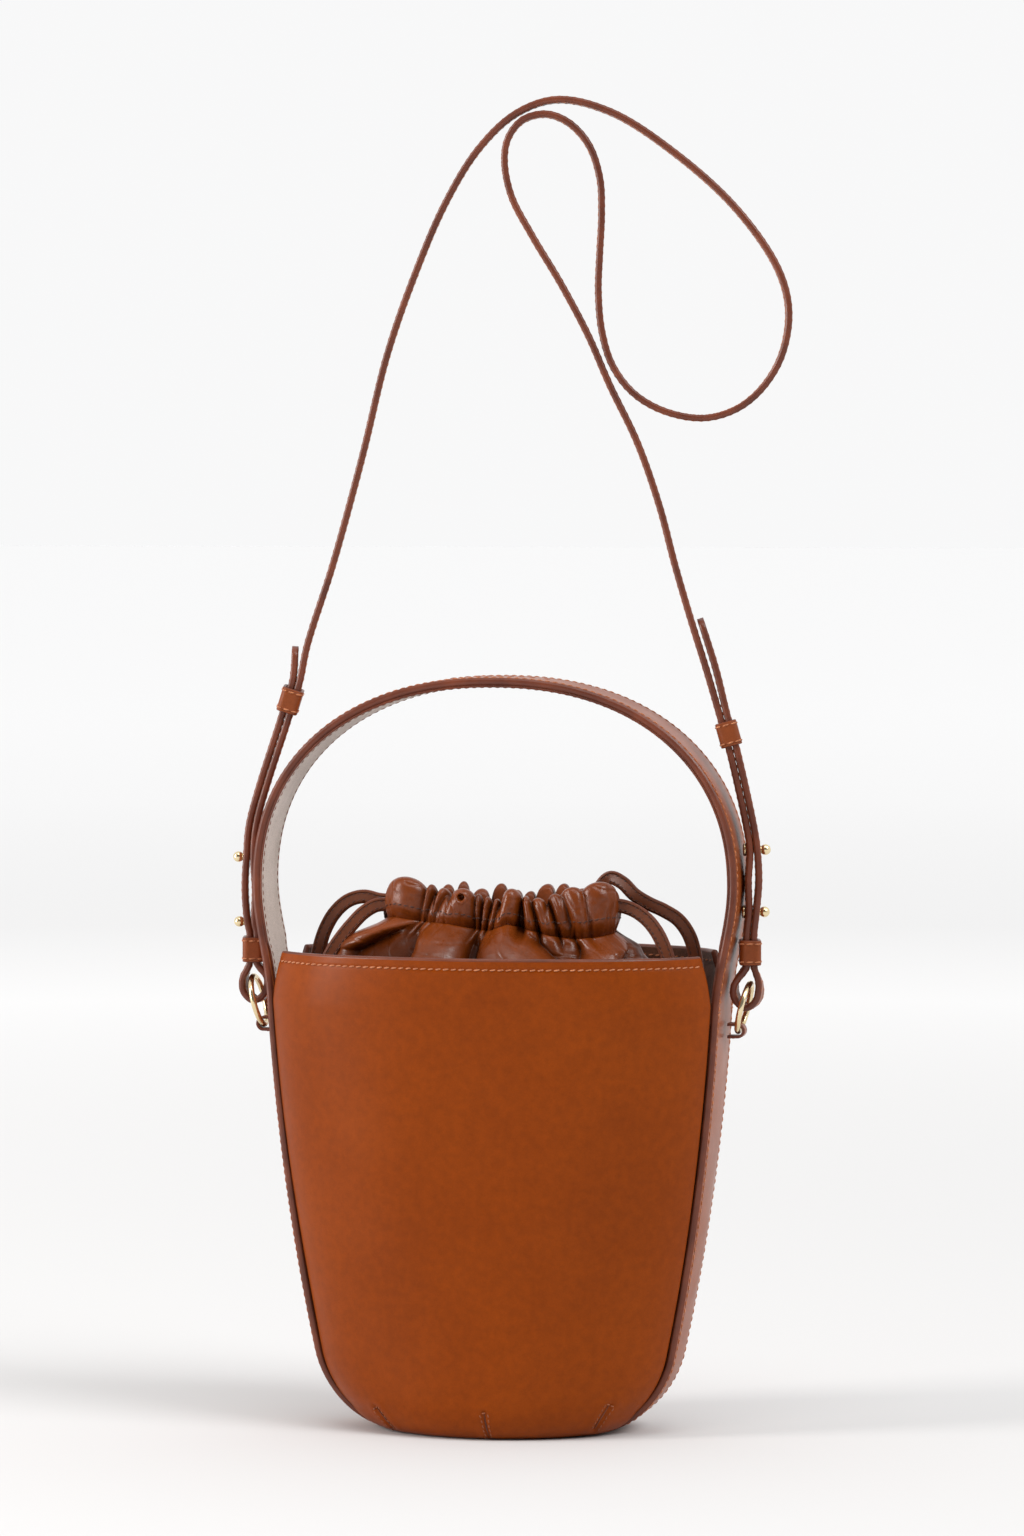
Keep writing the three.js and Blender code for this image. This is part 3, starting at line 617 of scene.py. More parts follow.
def make_stitches(name, rows, body, length=STITCH_LENGTH, width=0.75, material=THREAD):
    """One mesh of every stitch in a list of rows."""
    middle, along, up = (np.vstack(parts) for parts in zip(*rows))
    side = unit(np.cross(up, along))
    count = len(middle)
    jitter = 1 + random.normal(0, 0.035, (count, 1, 1))
    shape = STITCH_POINTS[None] * np.array([length, width, width * 0.8]) * jitter
    points = (middle[:, None] + shape[..., :1] * along[:, None] + shape[..., 1:2] * side[:, None]
              + (shape[..., 2:] + width * 0.16) * up[:, None]).reshape(-1, 3)
    offsets = np.arange(count)[:, None, None] * len(STITCH_POINTS)
    quads = (STITCH_QUADS[None] + offsets).reshape(-1, 4)
    return make_piece(name, points, quads, [material], body)


# ---------------------------------------------------------------- the band's outline, seen from the front

def side_line(z):
    """How far out the gussets' slightly curved outer line is at a height."""
    return SIDE_FOOT + SIDE_LEAN * z - SIDE_CURVE * z * z


def band_x(z):
    """How far out the band's outer line is at a height, from the foot's corner to the arch."""
    z = np.asarray(z, float)
    turn = np.clip(1 - z / CORNER_RISE, 0, 1)
    low = side_line(z) - CORNER_INSET * (1 - np.sqrt(1 - turn * turn))
    t = (z - JOINT_HEIGHT) / (ARCH_BASE - JOINT_HEIGHT)
    foot = side_line(JOINT_HEIGHT)
    high = foot + (t ** 3 - 2 * t ** 2 + t) * 3.2 + (3 * t ** 2 - 2 * t ** 3) * (ARCH_HALF_WIDTH - foot)
    return np.where(z <= JOINT_HEIGHT, low, high)


def gusset_half(z):
    """Half-width of a gusset at a height."""
    return GUSSET_LOW + (GUSSET_HIGH - GUSSET_LOW) * np.minimum(np.asarray(z, float) / JOINT_HEIGHT, 1)


def wall_depth(z):
    """How far a panel's middle stands out to the front at a height."""
    turn = np.clip(1 - np.asarray(z, float) / FOOT_RISE, 0, 1)
    wall = WALL_DEPTH_LOW + (WALL_DEPTH_HIGH - WALL_DEPTH_LOW) * np.asarray(z, float) / RIM_HEIGHT
    return wall - FOOT_INSET * (1 - np.sqrt(1 - turn * turn))


def handle_half(z):
    """Half-width of the handle at a height."""
    rise = np.clip((z - JOINT_HEIGHT) / (ARCH_BASE - JOINT_HEIGHT), 0, 1)
    return HANDLE_LOW + (HANDLE_HIGH - HANDLE_LOW) * rise


# ---------------------------------------------------------------- drawstring laces (the free cords)

LACE_WIDTH = 6.4
LACE_THICKNESS = 1.9
LACE_SEAM = 1.45  # from the middle of the lace to each row of stitches
LACE_ROUTES = {
    "left_front": [
        (-48, -3.2, 228.6), (-54.5, -3.2, 228), (-60, -4, 224.8), (-65, -5, 219.6), (-69.5, -6, 214),
        (-73.4, -7, 208), (-77, -8, 200.5), (-80.6, -9, 190), (-83.2, -10, 178), (-85, -10.5, 166)],
    "left_back": [
        (-48, 3.2, 229.6), (-54.5, 3.2, 230), (-61.5, 3.2, 231.4), (-68.6, 3.2, 229.4), (-74.6, 3.2, 224),
        (-78.8, 3.2, 216.8), (-81.4, 3.2, 209), (-83.2, 3.2, 200), (-84.6, 3.2, 190), (-85.5, 3.2, 178),
        (-86.2, 3.2, 168)],
    "right_front": [
        (48, -3.2, 229), (54.5, -3.4, 229), (60.5, -4, 227), (66, -4.8, 223.2), (70.4, -5.8, 218),
        (73.8, -6.8, 211.5), (76.6, -7.8, 204), (79.4, -8.8, 195), (81.8, -9.6, 185),
        (83.8, -10.4, 176), (85.2, -10.8, 166)],
    "right_back": [
        (40.5, 12.4, 230.5), (42.4, 12, 236.2), (47, 10.4, 240.4), (52.8, 8, 238.4), (58.6, 5.6, 233.4),
        (65, 4.2, 229.8), (72, 3.4, 226.8), (78.4, 3.2, 222.8), (83, 3.2, 216.4), (85.4, 3.2, 209),
        (86.4, 3.2, 200), (86.6, 3.2, 190), (86.4, 3.2, 178), (86.3, 3.2, 168)],
}


def make_lace(place, route):
    """A flat stitched lace that ends in a small knot inside the bag."""
    side = place.split("_")[0]
    body = f"laces_{side}"
    centres = resample(centripetal(route), 1.0)
    wide = unit(np.cross(unit(np.gradient(centres, axis=0)), Y_AXIS))
    section, picks = leather_section(LACE_WIDTH / 2, LACE_THICKNESS, groove_in=0.6, groove=0.1)
    from_end = line_length(centres)[-1] - line_length(centres)
    knot = 1 + 1.6 * np.exp(-((from_end - 5) / 2.6) ** 2)
    narrowing = 0.97 - 0.2 * np.exp(-(from_end / 9) ** 2)
    sections = section[None] * np.stack([narrowing, knot], axis=-1)[:, None]
    lace = sweep(f"lace_{place}_skin", centres, wide, sections, picks, [LACE, EDGE], body)
    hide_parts(f"lace_{place}")
    rows = strap_rows(centres, wide, LACE_SEAM, LACE_THICKNESS / 2, slice(None, -9), pitch=2.3)
    make_stitches(f"lace_{place}_stitches", rows, body, 1.7, 0.45, SEAM_THREAD)


make_camera()
for lace_place, lace_route in LACE_ROUTES.items():
    make_lace(lace_place, lace_route)
make_stage()


# ---------------------------------------------------------------- front and back panels

DARTS = [((-48.5, 11.5), (-41.0, 1.4)), ((2.4, 12.5), (3.4, 0.6)), ((54.5, 15.0), (47.0, 3.6))]
DART_FLARE = 1.75
CREASE_DEPTH, CREASE_HALF = 0.7, 0.8  # the sunken seam in the middle of a dart
RIDGE_HEIGHT, RIDGE_PLACE, RIDGE_HALF = 0.35, 2.4, 1.8  # the raised leather around it
RIM_SEAM = 3.6  # from the top of the rim down to its row of stitches
RIM_TURNS = np.radians([65, 35, 0, -35, -65])  # around the rounded rim of a sheet


def panel_rows():
    """Heights of a panel's rows and how far each reaches over the flat foot (1 on the wall)."""
    reach = [(s, 0.0) for s in (0.0, 0.3, 0.6, 0.85)]
    foot = [(1.0, FOOT_RISE * (1 - math.cos(t))) for t in np.linspace(0, math.pi / 2, 26)]
    wall = [(1.0, z) for z in np.linspace(FOOT_RISE, 194, 100)[1:]]
    rim = [(1.0, z) for z in np.linspace(194, RIM_HEIGHT, 29)[1:]]
    return np.array(reach + foot + wall + rim)


def panel_grid(columns=241):
    """The front panel's outer face as a grid of points, right end first."""
    rows = panel_rows()
    angle = np.linspace(PANEL_END, math.pi - PANEL_END, columns)[None]
    bow = (np.sin(angle) - math.sin(PANEL_END)) / (1 - math.sin(PANEL_END))
    reach, z = rows[:, :1], rows[:, 1:]
    raised = np.clip(z / 10, 0, 1)
    above = np.clip((z - JOINT_HEIGHT) / (RIM_HEIGHT - JOINT_HEIGHT), 0, 1)
    end_x = band_x(np.minimum(z, JOINT_HEIGHT)) - BAND_PROUD * raised - 1.6 * above - 2.5 * above ** 2
    end_y = gusset_half(z) + 0.3 + 0.6 * raised
    depth = wall_depth(z)
    flat = reach < 1
    end_x = np.where(flat, STRIP_HALF_LENGTH - 4 + reach * (FOOT_HALF_WIDTH - STRIP_HALF_LENGTH + 4), end_x)
    depth = np.where(flat, end_y + (FOOT_HALF_DEPTH - end_y) * reach, depth)
    x = end_x * np.cos(angle) / math.cos(PANEL_END)
    y = -(end_y + (depth - end_y) * bow)
    return np.stack([x, y, np.broadcast_to(z, x.shape)], axis=-1)


def soft_waves(grid):
    """Slow hand-made unevenness of the leather, in millimetres along the normal."""
    x, z = grid[..., 0], grid[..., 2]
    fade = np.clip(z / 30, 0, 1) * np.clip((100 - np.abs(x)) / 25, 0, 1)
    waves = (0.55 * np.sin(x / 31 + 0.7) * np.sin(z / 47 + 1.1) + 0.30 * np.sin(x / 17 + z / 29)
             + 0.22 * np.sin(x / 11 - z / 37 + 2.0))
    rim = 0.5 * np.exp(-((RIM_HEIGHT - z) / 16) ** 2) * np.sin(x / 23 + 0.4)
    return (waves + rim) * fade


def segment_distance(x, z, start, end):
    """Distance from each place to a segment."""
    a, b = np.array(start), np.array(end)
    d = b - a
    along = np.clip(((x - a[0]) * d[0] + (z - a[1]) * d[1]) / (d @ d), 0, 1)
    return np.hypot(x - a[0] - along * d[0], z - a[1] - along * d[1])


def dart_dent(grid):
    """The darts' creases and the soft ridge around each."""
    dent = np.zeros(grid.shape[:2])
    for start, end in DARTS:
        distance = segment_distance(grid[..., 0], grid[..., 2], start, end)
        dent -= CREASE_DEPTH * np.exp(-(distance / CREASE_HALF) ** 2)
        dent += RIDGE_HEIGHT * np.exp(-((distance - RIDGE_PLACE) / RIDGE_HALF) ** 2)
    return dent * np.clip(grid[..., 2] / 2, 0, 1)


def rim_groove(grid):
    """The groove that the rim's stitches lie in."""
    return -0.22 * np.exp(-((RIM_HEIGHT - RIM_SEAM - grid[..., 2]) / 0.55) ** 2)


def sheet_end(column, face_rows, columns):
    """The quads that close one end of a rolled sheet: between its face and back, then in its rim."""
    rows = 2 * face_rows + len(RIM_TURNS)
    pairs = [(row, rows - 1 - row) for row in range(face_rows + 1)]
    quads = [[low, low + 1, high - 1, high] for low, high in pairs]
    quads.append([face_rows + 1, face_rows + 2, face_rows + 3, face_rows + 3])
    return np.array(quads) * columns + column


def rolled_sheet(face, normals, thickness, name, materials, body):
    """A closed sheet whose last row is a rounded rim. Its materials: 0 face, 1 rim and ends, 2 back."""
    back = face - normals * thickness
    radius = thickness / 2
    up = unit(face[-1] - face[-2])
    rim = [(face[-1] + back[-1]) / 2 + normals[-1] * radius * math.sin(t) + up * radius * 0.8 * math.cos(t)
           for t in RIM_TURNS]
    loop = np.concatenate([face, np.array(rim), back[::-1]])
    rows, columns = loop.shape[:2]
    ends = [sheet_end(0, len(face), columns), sheet_end(columns - 1, len(face), columns)[:, ::-1]]
    c = np.arange(columns - 1)
    last = (rows - 1) * columns
    foot = np.stack([c, last + c, last + c + 1, c + 1], axis=-1)
    quads = np.vstack([grid_quads(rows, columns), *ends, foot])
    row_picks = np.repeat([0, 1, 2], [len(face) - 1, len(RIM_TURNS) + 1, len(face) - 1])
    picks = np.ones(len(quads))
    picks[:len(row_picks) * (columns - 1)] = np.repeat(row_picks, columns - 1)
    points = loop.reshape(-1, 3)
    return make_piece(name, points, facing_out(points, quads), materials, body, picks)


def surface_line(grid, normals, places):
    """Points and normals of a grid's surface nearest to given x, z places."""
    flat = grid.reshape(-1, 3)
    flat_normals = normals.reshape(-1, 3)
    picks = []
    for x, z in places:
        weight = np.hypot(flat[:, 0] - x, flat[:, 2] - z)
        nearest = np.argsort(weight)[:4]
        share = 1 / (weight[nearest] + 0.05)
        share /= share.sum()
        picks.append(np.concatenate([share @ flat[nearest], unit(share @ flat_normals[nearest])]))
    picks = np.array(picks)
    return picks[:, :3], picks[:, 3:]


def dart_seams(grid, normals, flip):
    """The stitch rows around each dart, and the line of its closed seam."""
    rows, slits = [], []
    for start, end in DARTS:
        start, end = np.array(start), np.array(end)
        along = unit(end - start)
        side = np.array([-along[1], along[0]])
        steps = np.linspace(0, 1, 12)[:, None]
        flare = DART_FLARE * (1 - 0.35 * steps)
        outlines = [(start + (end - start) * steps + side * across * flare, 0.22, 2.2) for across in (-1, 1)]
        outlines.append((start + side * np.linspace(-1, 1, 5)[:, None] * DART_FLARE, 0.2, 2.0))
        for places, lift, pitch in outlines:
            line, up = surface_line(grid, normals, places * [flip, 1])
            rows.append(stitch_row(line + up * lift, up, pitch=pitch, start=0.1))
        places = start + (end - start) * np.linspace(0.04, 1, 14)[:, None]
        slits.append(surface_line(grid, normals, places * [flip, 1]))
    return rows, slits


def make_panels():
    """The front panel and, turned round, the back panel, with their stitches and darts."""
    smooth = panel_grid()
    normals = grid_normals(smooth)
    base = smooth + normals * soft_waves(smooth)[..., None]
    shaped = base + normals * (dart_dent(smooth) + rim_groove(smooth))[..., None]
    rim_row = int(np.argmin(np.abs(smooth[:, 0, 2] - (RIM_HEIGHT - RIM_SEAM))))
    for name, flip in (("front", 1), ("back", -1)):
        turn = np.array([flip, flip, 1.0])
        grid, base_grid, out = shaped * turn, base * turn, normals * turn
        panel = rolled_sheet(grid, out, PANEL_THICKNESS, f"{name}_panel_skin", [BODY, EDGE, SUEDE],
                             "bag")
        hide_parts(f"{name}_panel", f"lining_{name}")
        rim, up = base_grid[rim_row], out[rim_row]
        rows = [stitch_row(rim + up * 0.02, up, start=2),
                stitch_row(rim - up * (PANEL_THICKNESS + 0.05), -up, start=2)]
        dart_rows, slits = dart_seams(base_grid, out, flip)
        make_stitches(f"{name}_panel_stitches", rows, "bag")
        make_stitches(f"{name}_dart_stitches", dart_rows, "bag", 1.7, 0.6, DART_THREAD)
        # painted shade: a dark bead in the slit of each dart
        make_dart_slit_shade(f"{name}_dart_slits", slits)


def make_dart_slit_shade(name, slits):
    """A thin dark bead sunk down the middle of each dart: painted shade in the narrow slit of its closed
    seam.
    """
    around = 8
    cap = np.array([[0, 1, 2, 3], [0, 3, 4, 7], [4, 5, 6, 7]])
    turns = full_turn(around)
    points, quads = [], []
    for line, up in slits:
        side = unit(np.cross(up, unit(np.gradient(line, axis=0))))
        steps = np.linspace(0, 1, len(line))[:, None]
        half = 0.3 * np.sin(np.pi * (0.12 + 0.8 * steps)) + 0.05
        rings = np.stack([line + side * half * math.cos(t) + up * (half * 0.6 * math.sin(t) - 0.42)
                          for t in turns], axis=1)
        start = sum(len(p) for p in points)
        quads.append(grid_quads(len(line), around, wrap_columns=True, start=start))
        quads.append(cap + start)
        quads.append((cap + start + (len(line) - 1) * around)[:, ::-1])
        points.append(rings.reshape(-1, 3))
    make_piece(name, np.vstack(points), np.vstack(quads), [EDGE], "bag")


make_panels()


# ---------------------------------------------------------------- side band: gussets and handle

def band_line():
    """The band's outer line, from the right side's foot over the arch to the left, [x, z]."""
    z = np.concatenate([CORNER_RISE * (1 - np.cos(np.linspace(0, math.pi / 2, 30))),
                        np.linspace(CORNER_RISE, ARCH_BASE, 130)[1:]])
    right = np.stack([band_x(z), z], axis=-1)
    angle = np.linspace(0, math.pi / 2, 90)[1:]
    arch = np.stack([ARCH_HALF_WIDTH * np.cos(angle) ** (2 / ARCH_POWER),
                     ARCH_BASE + ARCH_HEIGHT * np.sin(angle) ** (2 / ARCH_POWER)], axis=-1)
    arch[-1, 0] = 0
    half = np.vstack([right, arch])
    return np.vstack([half, (half * [-1, 1])[-2::-1]])


def band_width(z):
    """Half-width of the band at a height, blending from gusset to handle."""
    t = np.clip((z - 180) / 14, 0, 1)
    t = t * t * (3 - 2 * t)
    return gusset_half(z) * (1 - t) + handle_half(z) * t


def make_band():
    """The side band, from one end of the foot over the handle to the other, its outer face on the line."""
    line = np.vstack([[[STRIP_HALF_LENGTH + 0.2, 0.0]], band_line(), [[-STRIP_HALF_LENGTH - 0.2, 0.0]]])
    line = resample(line, 1.6)
    x, z = line.T
    centres = upright(x, z)
    _, thick_dir = frames_along(centres, Y_AXIS)
    wide = Y_AXIS * np.sign(np.einsum("ij,ij->i", thick_dir, centres - [0, 0, 160]).sum())
    rise = np.clip((z - 185) / 30, 0, 1)
    thickness = BAND_THICKNESS + HANDLE_EXTRA * rise
    crowns = 2.0 * np.sin(np.pi * np.clip(z / JOINT_HEIGHT, 0, 1)) + 0.25 * rise
    half = band_width(z)
    made = [leather_section(half_width, thick, groove_in=BAND_SEAM, crown=crown)
            for half_width, thick, crown in zip(half, thickness, crowns)]
    sections = np.array([section - [0, thick / 2] for (section, _), thick in zip(made, thickness)])
    band = sweep("side_band", centres, wide, sections, made[0][1], [BAND, EDGE], "bag")
    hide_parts("gusset_left", "gusset_right", "handle_outer")
    width, thick_dir = frames_along(centres, wide)
    rows = []
    inset = groove_place(half, thickness, BAND_SEAM)
    bulge = crowns * (1 - (inset / half) ** 2)
    for across in (-1, 1):
        seam = centres + width * (across * inset)[:, None] + thick_dir * bulge[:, None]
        rows.append(stitch_row(seam[z > 3], thick_dir[z > 3]))
    make_stitches("side_band_stitches", rows, "bag")
    make_handle_lining(centres, width, thick_dir, z, half, thickness)
    make_bar_tacks(centres, width, thick_dir, z, half, crowns)
    make_motif(centres, width, thick_dir, x, z)


def make_handle_lining(centres, width, thick_dir, z, half, thickness):
    """The pale suede that backs the handle and runs down inside the rim."""
    keep = z > 176
    narrow = np.clip(16 + (z - RIM_HEIGHT) * 0.5, 16, half - 0.5)[keep]
    line = (centres - thick_dir * (thickness + 0.5)[:, None])[keep]
    made = [leather_section(half_width, LINING_THICKNESS, groove_in=2.0, groove=0.1) for half_width in narrow]
    sections = np.array([section for section, _ in made])
    lining = sweep("handle_lining_strip", line, width[keep], sections, made[0][1], [PALE_SUEDE, EDGE],
                   "bag")
    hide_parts("handle_lining")
    rows = []
    for across in (-1, 1):
        row = line + width[keep] * (across * (narrow - 2.2))[:, None] - thick_dir[keep] * 0.42
        rows.append(stitch_row(row, -thick_dir[keep]))
    make_stitches("handle_lining_stitches", rows, "bag", 2.6, 0.7, DARK_THREAD)


def make_bar_tacks(centres, width, thick_dir, z, half, crowns):
    """Short dense stitches that lock the seam where the handle leaves the body."""
    rows = []
    for side in (1, -1):
        for across in (-1, 1):
            for height in BAR_TACK_HEIGHTS:
                i = int(np.argmin(np.abs(z - height) + 1000 * (np.sign(centres[:, 0]) != side)))
                ys = np.linspace(half[i] - 5.2, half[i] - 0.9, 5)
                lift = crowns[i] * (1 - (ys / half[i]) ** 2) + 0.15
                line = centres[i] + width[i] * (across * ys)[:, None] + thick_dir[i] * lift[:, None]
                rows.append(stitch_row(line, thick_dir[i], pitch=2.0, start=0, slant=20))
    make_stitches("bar_tacks", rows, "bag", 2.0, 0.6)


def make_motif(centres, width, thick_dir, x, z):
    """A plain row of small raised ovals on top of the handle."""
    around = 20
    levels = (0.0, 0.45, 0.8, 1.0)
    turns = full_turn(around)
    points, quads = [], []
    for place in MOTIF_PLACES:
        i = int(np.argmin(np.abs(x - place) + 1000 * (z <= ARCH_BASE)))
        along = np.cross(thick_dir[i], width[i])
        start = len(points) * (len(levels) * around + 1)
        rings = []
        for level in levels:
            size = math.cos(level * math.pi / 2 * 0.93)
            lift = thick_dir[i] * (0.1 + 0.55 * math.sin(level * math.pi / 2))
            for t in turns:
                rings.append(centres[i] + along * MOTIF_HALF[0] * size * math.cos(t)
                             + width[i] * MOTIF_HALF[1] * size * math.sin(t) + lift)
        rings.append(centres[i] + thick_dir[i] * 0.66)
        points.append(np.array(rings))
        quads.append(grid_quads(len(levels), around, wrap_columns=True, start=start))
        ring = start + (len(levels) - 1) * around + np.arange(around)
        tip = np.full(around // 2, start + len(levels) * around)
        quads.append(np.stack([ring[::2], ring[1::2], np.roll(ring, -2)[::2], tip], axis=-1))
    make_piece("handle_motif", np.vstack(points), np.vstack(quads), [BAND], "bag")


make_band()


def make_side_linings():
    """The suede strips inside the gussets."""
    heights, across = np.meshgrid(np.linspace(LINING_LOW, LINING_HIGH, 60),
                                  np.linspace(-LINING_HALF, LINING_HALF, 9), indexing="ij")
    for side, sign in (("right", 1), ("left", -1)):
        x = sign * (band_x(heights) - LINING_BEHIND)
        face = np.stack([x, across * (0.62 + 0.38 * heights / LINING_HIGH), heights], axis=-1)
        piece = rolled_sheet(face, grid_normals(face), LINING_THICKNESS, f"side_lining_{side}",
                             [SUEDE, SUEDE, SUEDE], "bag")
        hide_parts(f"lining_{side}")


make_side_linings()


# ---------------------------------------------------------------- foot

def make_base_strip():
    """The band's flat stretch under the foot, with its two seams."""
    x = np.linspace(-STRIP_HALF_LENGTH + 0.2, STRIP_HALF_LENGTH - 0.2, 60)
    centres = upright(x, np.ones(len(x)))
    section, picks = leather_section(GUSSET_LOW - 0.1, 2.0, groove_in=BAND_SEAM)
    strip = sweep("base_strip_skin", centres, Y_AXIS, section, picks, [BAND, EDGE], "bag")
    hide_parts("base_strip")
    rows = []
    for across in (-1, 1):
        line = upright(x, np.full(len(x), 0.12)) + Y_AXIS * across * (GUSSET_LOW - 2.6)
        rows.append(stitch_row(line, [0.0, 0.0, -1.0]))
    make_stitches("base_strip_stitches", rows, "bag", width=0.5)


make_base_strip()
for node_name, node_material in (("base_board", BOARD), ("base_lining", SUEDE)):
    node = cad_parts[node_name]
    node.data.materials.clear()
    node.data.materials.append(node_material)


# ---------------------------------------------------------------- shoulder strap

STACK_MIDDLE = 110.4
RING_STRANDS = {
    "left": [(STACK_MIDDLE + STRAND_PITCH / 2, 202.1), (114.6, 195.4), (113.7, 189.0),
             (STACK_MIDDLE - 1.1, 185.5), (104.4, 189.0), (103.6, 195.4),
             (STACK_MIDDLE - STRAND_PITCH / 2, 202.1)],
    "right": [(STACK_MIDDLE + STRAND_PITCH / 2, 203.5), (114.5, 195.5), (113.7, 189.0),
              (STACK_MIDDLE - 1.1, 185.5), (104.5, 189.0), (103.8, 195.5),
              (STACK_MIDDLE - STRAND_PITCH / 2, 203.5)],
}
LOWER_KEEPERS = {"left": 208.0, "right": 209.5}
PARALLEL_TOPS = {"left": 215.5, "right": 217.5}
STUD_HEIGHTS = {"left": (220, 248.5), "right": (227, 254)}
STUD_MIDDLES = (111.4, 111.8)
STRANDS_APART = 4.6
UPPER_KEEPERS = {"left": ((-93.6, 317.5), (0.3, 0.954)), "right": ((100.8, 304), (-0.27, 0.963))}
TAILS = {"left": [(-91.3, 341)], "right": [(95.2, 332), (88.2, 354)]}
FREE_STRAP = [(-86, 341.5), (-74.4, 377), (-61, 425), (-50.2, 468), (-38.6, 501), (-24.2, 534),
              (-9.4, 557.5), (7, 572.5), (25, 578.4), (48.5, 573), (77.5, 554.5), (104.5, 530),
              (122.4, 504), (126.8, 486), (123.5, 467), (114.8, 453), (103.8, 444.4), (89.7, 440.6),
              (72.5, 443.6), (58.8, 451.5), (49.6, 463.5), (45, 478), (43.4, 495), (44, 512),
              (44.8, 529), (44, 544.5), (39, 559), (30, 568.6), (20, 572.2), (9.8, 569.6), (3.6, 562),
              (2, 552), (5, 537), (14, 520), (26.8, 499), (38.9, 476.5), (48.4, 455), (60.6, 430),
              (70.2, 403), (77.2, 377), (84, 354), (90.8, 332.5)]


def doubled_layer(side, layer):
    """One layer of the doubled strap from the ring's loop to above its upper keeper."""
    sign = 1 if side == "right" else -1
    off = layer * STRAND_PITCH / 2
    low, high = STUD_HEIGHTS[side]
    points = [(sign * x, z) for x, z in (
        (STACK_MIDDLE + off, LOWER_KEEPERS[side]), (STACK_MIDDLE + off, PARALLEL_TOPS[side]),
        (STUD_MIDDLES[0] + off, low), (STUD_MIDDLES[1] + layer * STRANDS_APART / 2, (low + high) / 2),
        (STUD_MIDDLES[1] + off, high), (110.3 + off, 264))]
    (x, z), (lean_x, lean_z) = UPPER_KEEPERS[side]
    x_off, z_off = off * sign * abs(lean_z), -off * sign * lean_x
    points += [(x + x_off + lean_x * along, z + z_off + lean_z * along) for along in (-9, 0, 9)]
    return points


def strap_route():
    """The strap's line from its left end through both rings to its right end, [x, z]."""
    left_loop = [(-x, z) for x, z in RING_STRANDS["left"]]
    left = TAILS["left"][::-1] + doubled_layer("left", 1)[::-1] + left_loop + doubled_layer("left", -1)
    right = doubled_layer("right", -1)[::-1] + RING_STRANDS["right"][::-1] + doubled_layer("right", 1)
    return left + FREE_STRAP + right + TAILS["right"]


def make_strap():
    """The whole shoulder strap, its width turned by STRAP_TURN above the rings, with rounded ends."""
    centres = resample(centripetal([(x, 0, z) for x, z in strap_route()]), 1.5)
    rise = np.clip((centres[:, 2] - 190) / 12, 0, 1)
    turn = STRAP_TURN * rise * rise * (3 - 2 * rise)
    wide = np.stack([np.sin(turn), -np.cos(turn), np.zeros(len(turn))], axis=-1)
    section, picks = leather_section(STRAP_WIDTH / 2, STRAP_THICKNESS, groove_in=STRAP_SEAM, groove=0.14)
    run = line_length(centres)
    ends = np.minimum(run, run[-1] - run)
    taper = np.where(ends < 5, np.sqrt(np.clip(1 - (1 - ends / 5) ** 2, 0.03, 1)), 1)
    sections = section[None] * np.stack([taper, np.ones(len(taper))], axis=-1)[:, None]
    strap = sweep("shoulder_strap_skin", centres, wide, sections, picks, [STRAP, EDGE],
                  "strap")
    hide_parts("shoulder_strap")
    inset = groove_place(STRAP_WIDTH / 2, STRAP_THICKNESS, STRAP_SEAM)
    rows = strap_rows(centres, wide, inset, STRAP_THICKNESS / 2 - 0.18, slice(4, -4))
    make_stitches("shoulder_strap_stitches", rows, "strap", width=0.7)


make_strap()


# ---------------------------------------------------------------- rings, ring tabs, studs and keepers

RING_CENTRE = (107.9, 185.5)
RING_RADIUS = 10.7
RING_WIRE = 1.3
RING_TILT = math.radians(14)
TAB_EYE = 2.0
TAB_WIDTH = 7.0
STACK = STRAND_PITCH + STRAP_THICKNESS
KEEPER_HALF = 5.5
KEEPER_SEAM = 3.9  # from the middle of a keeper to each row of stitches
KEEPER_WALL = 1.4
KEEPER_CORNER = 1.6
KEEPER_PLAY = 0.25  # between a keeper and the doubled strap


def lathe(name, profile, centre, axis):
    """Turns a profile of (radius, distance along the axis) into a closed metal body of the strap."""
    steps = 40
    side = unit(np.cross(axis, [0.0, 1.0, 0.31]))
    other = np.cross(axis, side)
    turns = full_turn(steps)
    spokes = side * np.cos(turns)[:, None] + other * np.sin(turns)[:, None]
    points = np.vstack([centre + axis * along + radius * spokes for radius, along in profile])
    quads = grid_quads(len(profile), steps, wrap_columns=True)
    faces = facing_out(points, quads)
    first = list(range(steps))
    last = [len(points) - steps + k for k in first]
    caps = [first[::-1], last] if np.array_equal(faces, quads) else [first, last[::-1]]
    return make_piece(name, points, faces.tolist() + caps, [GOLD], "strap")


def make_ring(side, sign):
    """The round metal ring that the strap is passed through."""
    turns = np.linspace(0, 2 * math.pi, 97)
    tilt = np.array([math.sin(RING_TILT), 0, math.cos(RING_TILT)])
    centre = np.array([RING_CENTRE[0], 0, RING_CENTRE[1]])
    centres = centre + RING_RADIUS * (np.cos(turns)[:, None] * Y_AXIS + np.sin(turns)[:, None] * tilt)
    wide = np.cross(Y_AXIS, tilt) * [sign, 1, 1]
    around = full_turn(16)
    section = np.stack([np.cos(around), np.sin(around)], axis=-1) * RING_WIRE
    ring = sweep(f"ring_{side}_wire", centres * [sign, 1, 1], wide, section, np.zeros(16), [GOLD],
                 f"ring_{side}", closed=True)
    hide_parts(f"ring_{side}")


